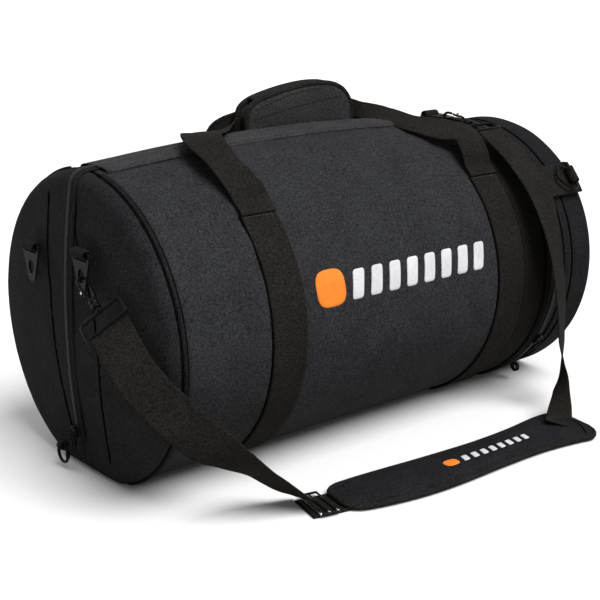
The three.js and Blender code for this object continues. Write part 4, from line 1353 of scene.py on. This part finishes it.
def snap_hook(name, where):
    """The hook's wire, thinner towards its tip, with the swivel barrel that it grows out of."""
    wire_radii = [2.4] * 8 + [2.2] * 10 + [2.0] * 14 + [1.9] * 10 + [1.7] * 6
    wire = local_tube(f"{name}_wire", [
        (HOOK_X, 0, -41), (-2.6, 0, -35), (-4.5, 0, -27), (-4.6, 0, -18), (-4.4, 0, -7), (-1.5, 0, -0.6),
        (3.5, 0, -0.8), (7.4, 0, -6), (8, 0, -14)], wire_radii, where)
    barrel_profile = [(-53, 3.6), (-52.6, 5.2), (-49, 5.4), (-48.4, 4.6), (-46.5, 4.6), (-46, 5.4),
                      (-40.5, 5.4), (-39.6, 4.8), (-38.5, 2.6)]
    barrel = turned_part(f"{name}_barrel", barrel_profile, HOOK_X, where)
    seat_line = [(HOOK_X, 0, -40), (4.6, 0, -38), (7.6, 0, -35.6)]
    seat = local_tube(f"{name}_seat", seat_line, 2.0, where, count=12)
    return join_pieces(name, [wire, barrel, seat])


def snap_gate(name, where):
    """The hook's sprung lever with its thumb piece, whose light metal is a painted highlight on the black
    fitting.
    """
    lever_line = [(7.8, 0, -16.8), (7.2, 0, -20), (7, 0, -24), (7.4, 0, -29), (8, 0, -34)]
    lever = local_tube(f"{name}_lever", lever_line, 1.5, where, count=20)
    thumb = local_tube(f"{name}_thumb", [(8.2, 0, -24), (10.2, 0, -25.5), (11, 0, -28)],
                       [1.2, 1.4, 1.5, 1.5, 1.4, 1.2, 1.0, 0.8], where, HIGHLIGHT_METAL, count=8)
    return join_pieces(name, [lever, thumb])


def strap_ring(name, where):
    """The rectangular ring that the strap is sewn round, with its swivel stem."""
    half = WEBBING / MM / 2 + 3
    corners = [in_frame(where, HOOK_X, y, z) for y, z in rounded_box(-half, half, -84, -60, 5)]
    loop = tube(f"{name}_loop", corners, 0.0020, METAL, closed=True)
    stem = turned_part(f"{name}_stem", [(-61, 3.2), (-59.5, 4.0), (-56.5, 3.4), (-53.4, 2.8)], HOOK_X, where)
    return join_pieces(name, [loop, stem])


for side, hook, ring in (("left", left_hook, left_ring), ("right", right_hook, right_hook)):
    place(snap_hook(f"{side}_hook", hook), "case_front", "black_metal", f"{side}_snap_hook")
    place(snap_gate(f"{side}_gate_lever", hook), f"{side}_gate", "black_metal", f"{side}_snap_gate")
    place(strap_ring(f"{side}_ring", ring), "case_front", "black_metal", f"{side}_strap_ring")

# ---------------------------------------------------------------- shoulder strap, in millimetres
ring_bar = {side: [c / MM for c in in_frame(ring, HOOK_X, 0, -89)]
            for side, ring in (("left", left_ring), ("right", right_hook))}
left_across = tuple(left_ring.to_3x3() @ Vector((0, 1, 0)))
LEFT_STRAP = [
    (ring_bar["left"], left_across),
    ((-384, -168, 176), (0.68, -0.36, 0.62)),
    ((-363, -204, 137), (0.62, -0.3, 0.7)),
    ((-332, -220, 102), (0.5, -0.4, 0.8)),
    ((-300, -228, 76), (0.45, -0.8, 0.4)),
    ((-266, -236, 50), (0.4, -0.9, 0)),
    ((-232, -245, 22), (0.3, -0.95, 0)),
    ((-214, -250, 11), (0.25, -0.97, 0)),
]
RIGHT_STRAP = [
    (ring_bar["right"], (1, 0, 0)),
    ((258, -144, 334), (1, 0.05, 0)),
    ((258, -186, 290), (0.98, 0.15, 0.05)),
    ((261, -212, 222), (0.92, 0.38, 0)),
    ((270, -220, 149), (0.9, 0.44, 0)),
    ((270, -225, 92), (0.87, 0.5, 0)),
    ((258, -238, 57), (0.5, 0.62, -0.6)),
    ((232, -258, 39), (-0.1, 0.9, -0.3)),
    ((202, -281, 26), (-0.4, 0.85, 0.05)),
    ((178, -298, 15), (-0.5, 0.75, 0.3)),
]
RIGHT_NARROW = {5: 0.85, 6: 0.6, 7: 0.5, 8: 0.62, 9: 0.72}
STRAP_Z = 1.6                # the middle of the webbing where the strap lies on the floor
PAD_LINE = [(-184, -264, -0.2), (-140, -273, -0.15), (-60, -284, -0.05), (40, -287, 0), (130, -286, 0.1),
            (216, -298, 0.25)]
MIDDLE_STRAP = [((-222, -255, STRAP_Z), (-0.25, 0.97, 0)),
                *(((x, y, STRAP_Z), (lean, 1, 0)) for x, y, lean in PAD_LINE)]

for side, stations, narrow in (("left", LEFT_STRAP, {}), ("middle", MIDDLE_STRAP, {}),
                               ("right", RIGHT_STRAP, RIGHT_NARROW)):
    strap, _ = ribbon(f"shoulder_strap_{side}_webbing", stations, narrow)
    place(strap, "case_front", "webbing", f"shoulder_strap_{side}")

# ---------------------------------------------------------------- shoulder pad


def pad_width(share):
    """Half the pad's width along its length, narrower at the adjuster and round at the far end."""
    start = min(1.0, share / 0.10)
    end = min(1.0, (1 - share) / 0.12)
    round_start = math.sqrt(max(0.0, 1 - (1 - start) ** 2))
    round_end = math.sqrt(max(0.0, 1 - (1 - end) ** 2))
    middle = 31 + 8 * math.exp(-((share - 0.30) / 0.20) ** 2) + 13 * math.exp(-((share - 0.90) / 0.22) ** 2)
    return middle * (0.45 + 0.55 * round_start) * (0.35 + 0.65 * round_end)


PAD_SPINE = [Vector((x, y, 0)) for x, y in ((-180, -264), (-140, -272), (-60, -283), (40, -288), (130, -290),
                                            (190, -293), (224, -299))]
PAD_COUNT = 72               # rows along the pad
PAD_COLUMNS = 28             # points across its top
PAD_BASE = 3.6               # the pad lies on the strap, this high above the floor


def pad_crown(w):
    """How full the pad is at a place across it, w from -1 to 1."""
    return 7.6 * (1 - abs(w) ** 3.2) ** 0.8


def pad_frame(share):
    """A point of the pad's middle line and the direction across it there."""
    along = tangent(PAD_SPINE, share, 0.002)
    return catmull(PAD_SPINE, share), Vector((-along.y, along.x, 0))


pad_rows, pad_edge = [], [[], []]
across_pad = steps(-1, 1, PAD_COLUMNS)
for share in steps(0, 1, PAD_COUNT):
    at, across = pad_frame(share)
    half = pad_width(share)
    row = []
    for w in across_pad:
        crown = 3.2 + pad_crown(w) * min(1.0, 6 * share, 8 * (1 - share) + 0.3)
        wave = 0.5 * bump_noise(share * 3, w * 0.4, 2.2, 0.4) * (1 - w * w)
        row.append((at + across * (w * half) + Vector((0, 0, PAD_BASE + crown + wave - 1.4))) * MM)
    for w in across_pad[-2:0:-1]:
        row.append((at + across * (w * half * 0.985) + Vector((0, 0, 3.3))) * MM)
    pad_rows.append(row)
    for edge, w in zip(pad_edge, (-1, 1)):
        edge.append((at + across * (w * half) + Vector((0, 0, 5.2))) * MM)
pad = grid("shoulder_pad_cloth", pad_rows, PAD_CLOTH, closed=True,
           uvs=[(p.x, p.y) for row in pad_rows for p in row])
cap_ends(pad, len(pad_rows[0]))
place(pad, "pad", "canvas", "shoulder_pad")
rim = pad_edge[0] + pad_edge[1][::-1]
pad_rim = tube("shoulder_pad_binding", rim, 0.0032, BINDING, closed=True, sides=10)
place(pad_rim, "pad", "webbing")


def pad_point(i, w, lift):
    """A point just above the pad's top: row i, w from -1 to 1 across."""
    return pad_rows[i][round((w + 1) / 2 * PAD_COLUMNS)] + Vector((0, 0, lift))


EDGE_W = 0.86                # where the pad's stitched channel runs
curve_line = [pad_point(round((0.86 + 0.07 * (1 - w * w)) * PAD_COUNT), w, 0.0004)
              for w in steps(-EDGE_W, EDGE_W, 24)]
# A near-black cord across the pad near its far end: painted shade along its sewn seam.
seam_line = tube("shoulder_pad_seam", smooth_path(curve_line, 60), 0.0008, SEAM_SHADOW, sides=6)
place(seam_line, "pad", "canvas")
edge_rows = range(3, PAD_COUNT - 2)
edge_lines = [([pad_point(i, w, 0.0003) for i in edge_rows], [Vector((0, 0, 1))] * len(edge_rows))
              for w in (-EDGE_W, EDGE_W)]
stitch_rows("shoulder_pad_stitches", "pad", "canvas", edge_lines)

# ---------------------------------------------------------------- adjuster, in millimetres
adjuster_place = Matrix.Translation(Vector((-203, -259, STRAP_Z + 1.1 + 0.6)) * MM)
adjuster_place = adjuster_place @ Matrix.Rotation(math.radians(-13), 4, "Z")
ADJUSTER_L, ADJUSTER_W = 11, 28    # half its length along the strap and half its width
bars = []
# The cross bars are light metal: painted highlights on the black adjuster.
for i, x in enumerate((-ADJUSTER_L, 0, ADJUSTER_L)):
    path = [in_frame(adjuster_place, x, y, 1.5) for y in steps(-ADJUSTER_W, ADJUSTER_W, 8)]
    bars.append(tube(f"adjuster_bar_{i}", path, 0.0014, HIGHLIGHT_METAL))
for i, y in enumerate((-ADJUSTER_W - 0.2, ADJUSTER_W + 0.2)):
    path = [in_frame(adjuster_place, x, y, 1.5) for x in steps(-ADJUSTER_L, ADJUSTER_L, 6)]
    bars.append(tube(f"adjuster_side_{i}", path, 0.0015, METAL))
place(join_pieces("strap_adjuster_frame", bars), "adjuster", "black_metal", "strap_adjuster")

# ---------------------------------------------------------------- zip sliders


def slider_parts(name, where):
    """A slider's body and the bridge that its pull hangs on."""
    section = [(-5.5, -7), (-4.2, -8), (4.2, -8), (5.5, -7), (5.5, 4), (3.2, 8), (-3.2, 8), (-5.5, 4)]
    body = block(f"{name}_body", [(y * MM, z * MM) for y, z in section], 0.0006, 0.0044, METAL, where)
    bridge_line = [(4.2, 0, -5.5), (8.4, 0, -3.5), (8.8, 0, 1.5), (8.2, 0, 4), (4.2, 0, 6)]
    bridge = local_tube(f"{name}_bridge", bridge_line, 1.1, where, count=20)
    return [body, bridge]


def pull_parts(name, length, where):
    """The slider's pull, a long thin loop."""
    end = 2 - length
    ring = [(7, -2.6, 2), (7, 2.6, 2), (7, 3.2, -2), (7, 2.6, end + 3), (7, 0, end), (7, -2.6, end + 3),
            (7, -3.2, -2)]
    return [local_tube(f"{name}_loop", ring, 1.0, where, closed=True, sides=10)]


def dome_zip_frame(z):
    """The frame of a slider on the cap's face, z millimetres above the floor."""
    radius = AXIS_Z / MM - z
    t = math.asin(radius / (DOME_R / MM))
    reach = DOME_R / MM + 3.4
    at = (DOME_CENTRE_X / MM - reach * math.cos(t), 0, AXIS_Z / MM - reach * math.sin(t))
    return frame_at(at, (-math.cos(t), 0, -math.sin(t)), (-math.sin(t), 0, math.cos(t)))


main_slider = dome_zip_frame(56)
place(join_pieces("main_slider_body", slider_parts("main_slider", main_slider)), "main_slider", "black_metal",
      "main_zip_slider")
place(join_pieces("main_slider_pull", pull_parts("main_pull", 30, main_slider)), "main_pull", "black_metal",
      "main_zip_pull")


def lid_zip_frame(angle):
    """The frame of a slider on the lid's zip."""
    at = [c / MM for c in around(X_LID_ZIP, angle, 0.0034)]
    t = math.radians(angle)
    return frame_at(at, (0, math.sin(t), math.cos(t)), (0, math.cos(t), -math.sin(t)))


for label, angle in (("upper", -41), ("lower", -122)):
    where = lid_zip_frame(angle)
    whole = join_pieces(f"lid_slider_{label}", slider_parts(label, where) + pull_parts(label, 15, where))
    place(whole, f"{label}_lid_slider", "black_metal", f"lid_zip_slider_{label}")

# ---------------------------------------------------------------- D-ring on its band
RING_ANGLE = -52             # where the band crosses the lid's zip
RING_D = 0.0066              # its height above the barrel, over the zip and the piping
ring_at = around(0.352, RING_ANGLE, RING_D + WEB_T + 0.0066)
ring_frame = frame_at([c / MM for c in ring_at], outward(RING_ANGLE), (1, 0, 0))
rows = [[around(x, a, RING_D + WEB_T - (0.003 if x < 0.288 else 0)) for x in spread(0.284, 0.368, 0.004)]
        for a in spread(RING_ANGLE - 7, RING_ANGLE + 7, 1.0)]
strip = thicken(faces_out(grid("ring_band_strip", rows, WEB_CLOTH), from_axis), WEB_T)
ring_band = join_pieces("lid_ring_band_webbing", [strip, webbing_roll("ring_band_roll", 24, ring_frame)])
place(ring_band, "end_lid", "webbing", "lid_ring_band")
D_OUTLINE = ((0, -17), (0, -8), (0, 8), (0, 17), (-4, 19.5), (-12, 18.5), (-21, 13), (-27.5, 5), (-29, 0),
             (-27.5, -5), (-21, -13), (-12, -18.5), (-4, -19.5))
d_shape = [(0, y, z) for z, y in D_OUTLINE]
d_ring = local_tube("lid_d_ring_wire", d_shape, 2.2, ring_frame, closed=True, count=72, sides=14)
place(d_ring, "d_ring", "black_metal", "lid_d_ring")

# ---------------------------------------------------------------- small loops and ring hook at the feet
left_base = frame_at((-371, 26, 31), (-1, 0, 0), (0, 0, 1))
right_base = frame_at([c / MM for c in around(0.300, -143, 0.0095)], (0, -0.6, -0.8), (0, -0.8, 0.6))
place(webbing_roll("left_base_webbing", 8, left_base), "back_half", "webbing", "left_base_loop")
place(webbing_roll("right_base_webbing", 6, right_base), "end_lid", "webbing", "right_base_loop")
circle = [(0, 11 * math.sin(t), 11 * math.cos(t) - 11) for t in turns(16)]
base_hook = local_tube("left_base_ring_hook", circle, 1.9, left_base, closed=True, count=56, sides=12)
gate_band = turned_part("left_base_hook_gate", [(-3.4, 2.3), (-3, 2.7), (3, 2.7), (3.4, 2.3)], 0,
                        left_base @ Matrix.Translation(Vector((0, 11, -11)) * MM))
ring_hook = join_pieces("left_base_hook_ring", [base_hook, gate_band])
place(ring_hook, "base_hook", "black_metal", "left_base_hook")

# ---------------------------------------------------------------- plain embroidery, in place of any lettering


def patch(name, outline, centre, place_point, material, height):
    """A raised patch of satin stitch. outline is (u, v) in metres, which place_point puts on the cloth."""
    cu, cv = centre
    rows, uvs = [], []
    for share, lift in ((1.0, 0.0), (0.97, 0.7), (0.85, 1.0), (0.6, 1.05), (0.3, 1.05), (0.04, 1.05)):
        ring = [(cu + (u - cu) * share, cv + (v - cv) * share) for u, v in outline]
        rows.append([place_point(u, v, lift * height) for u, v in ring])
        uvs += ring
    piece = grid(name, rows, material, closed=True, uvs=uvs)
    return add_face(piece, len(piece.data.vertices) - len(outline), len(outline))


def on_barrel(u, v, lift):
    """u along the barrel, v up its front from the middle height of the embroidery."""
    angle = -75.5 + math.degrees(v / R)
    return around(u, angle, barrel_depth(u, angle) + 0.0002 + lift)


def rounded_square(cx, cy, half):
    """The outline of a square with very round corners."""
    power, outline = 3.2, []
    for t in turns(48):
        c, s = math.cos(t), math.sin(t)
        r = half / (abs(c) ** power + abs(s) ** power) ** (1 / power)
        outline.append((cx + r * c, cy + r * s))
    return outline


def refine(outline, step=0.004):
    """More points along the straight sides, so a patch follows the round barrel."""
    fine = []
    for (u0, v0), (u1, v1) in zip(outline, outline[1:] + outline[:1]):
        count = max(1, round(math.hypot(u1 - u0, v1 - v0) / step))
        fine += [(u0 + (u1 - u0) * i / count, v0 + (v1 - v0) * i / count) for i in range(count)]
    return fine


def embroidery(name, on_cloth, square, first, pitch, half_w, half_h, corner, height, away_from):
    """An orange square, given as (u, v, half its width), and eight slanted grey bars in a row beside it."""
    cx, cy, half = square
    marks = [patch(f"{name}_square", rounded_square(cx, cy, half), (cx, cy), on_cloth, ORANGE, height)]
    first_u, row_v = first
    for i in range(8):
        cx = first_u + pitch * i
        box = rounded_box(-half_w, half_w, -half_h, half_h, corner)
        outline = refine([(cx + u + 0.20 * v, row_v + v) for u, v in box])
        marks.append(patch(f"{name}_bar_{i}", outline, (cx, row_v), on_cloth, GREY, height))
    for mark in marks:
        faces_out(mark, away_from)
    return join_pieces(name, marks)


big = embroidery("front_embroidery", on_barrel, (-0.120, 0.002, 0.0225), (-0.076, 0.0), 0.0305, 0.0092,
                 0.0180, 0.004, 0.0009, from_axis)
place(big, "case_front", "canvas")


def on_pad(u, v, lift):
    """u along the pad's length in metres from its left end, v across it."""
    share = min(1.0, max(0.0, u / 0.43))
    at, across = pad_frame(share)
    w = v / MM / pad_width(share)
    top = Vector((0, 0, PAD_BASE + 3.2 + pad_crown(w) - 1.2))
    return (at + across * (v / MM) + top) * MM + Vector((0, 0, lift))


small = embroidery("pad_embroidery", on_pad, (0.175, -0.004, 0.0075), (0.192, -0.004), 0.0118, 0.0033, 0.0062,
                   0.0015, 0.0007, lambda p: p - Vector((0, 0, 1)))
place(small, "pad", "canvas")

# ---------------------------------------------------------------- floor, light and camera
floor_material, _, floor_shader = new_material("floor")
floor_shader.inputs["Base Color"].default_value = (0.56, 0.56, 0.56, 1)
floor_shader.inputs["Roughness"].default_value = 1.0
floor_shader.inputs["Specular IOR Level"].default_value = 0.0
FLOOR = 30                   # half the floor's width, in metres
floor_corners = [Vector((x * FLOOR, y * FLOOR, 0)) for x, y in ((-1, -1), (1, -1), (1, 1), (-1, 1))]
floor = make("floor", floor_corners, [(0, 1, 2, 3)], floor_material, smooth=False)

world = bpy.data.worlds.new("studio")
bpy.context.scene.world = world
world.use_nodes = True
background = world.node_tree.nodes["Background"]
background.inputs["Color"].default_value = (1, 1, 1, 1)
background.inputs["Strength"].default_value = 0.55


def aim(thing, direction):
    """Turns a lamp or the camera to look along a direction."""
    thing.rotation_euler = Vector(direction).to_track_quat("-Z", "Y").to_euler()


# A soft sun from the front and above, and a weaker one from behind: energy, width in degrees, way it shines.
LAMPS = {"key": (5.6, 45, (-0.12, 0.55, -0.88)), "fill": (1.0, 70, (0.1, -0.6, -0.5))}
for name, (energy, width, direction) in LAMPS.items():
    lamp = bpy.data.lights.new(name, "SUN")
    lamp.energy = energy
    lamp.angle = math.radians(width)
    aim(new_object(name, lamp), direction)

CAMERA_AT = (-1.05239, -1.23498, 0.62236)
LOOK_AT = (-0.01342, 0.0, 0.15440)
camera = bpy.data.cameras.new("camera")
camera.sensor_fit = "HORIZONTAL"
camera.angle = math.radians(27.3)
eye = new_object("camera", camera)
eye.location = CAMERA_AT
aim(eye, Vector(LOOK_AT) - eye.location)
bpy.context.scene.camera = eye
bpy.context.scene.view_settings.view_transform = "Standard"

bpy.context.view_layer.update()
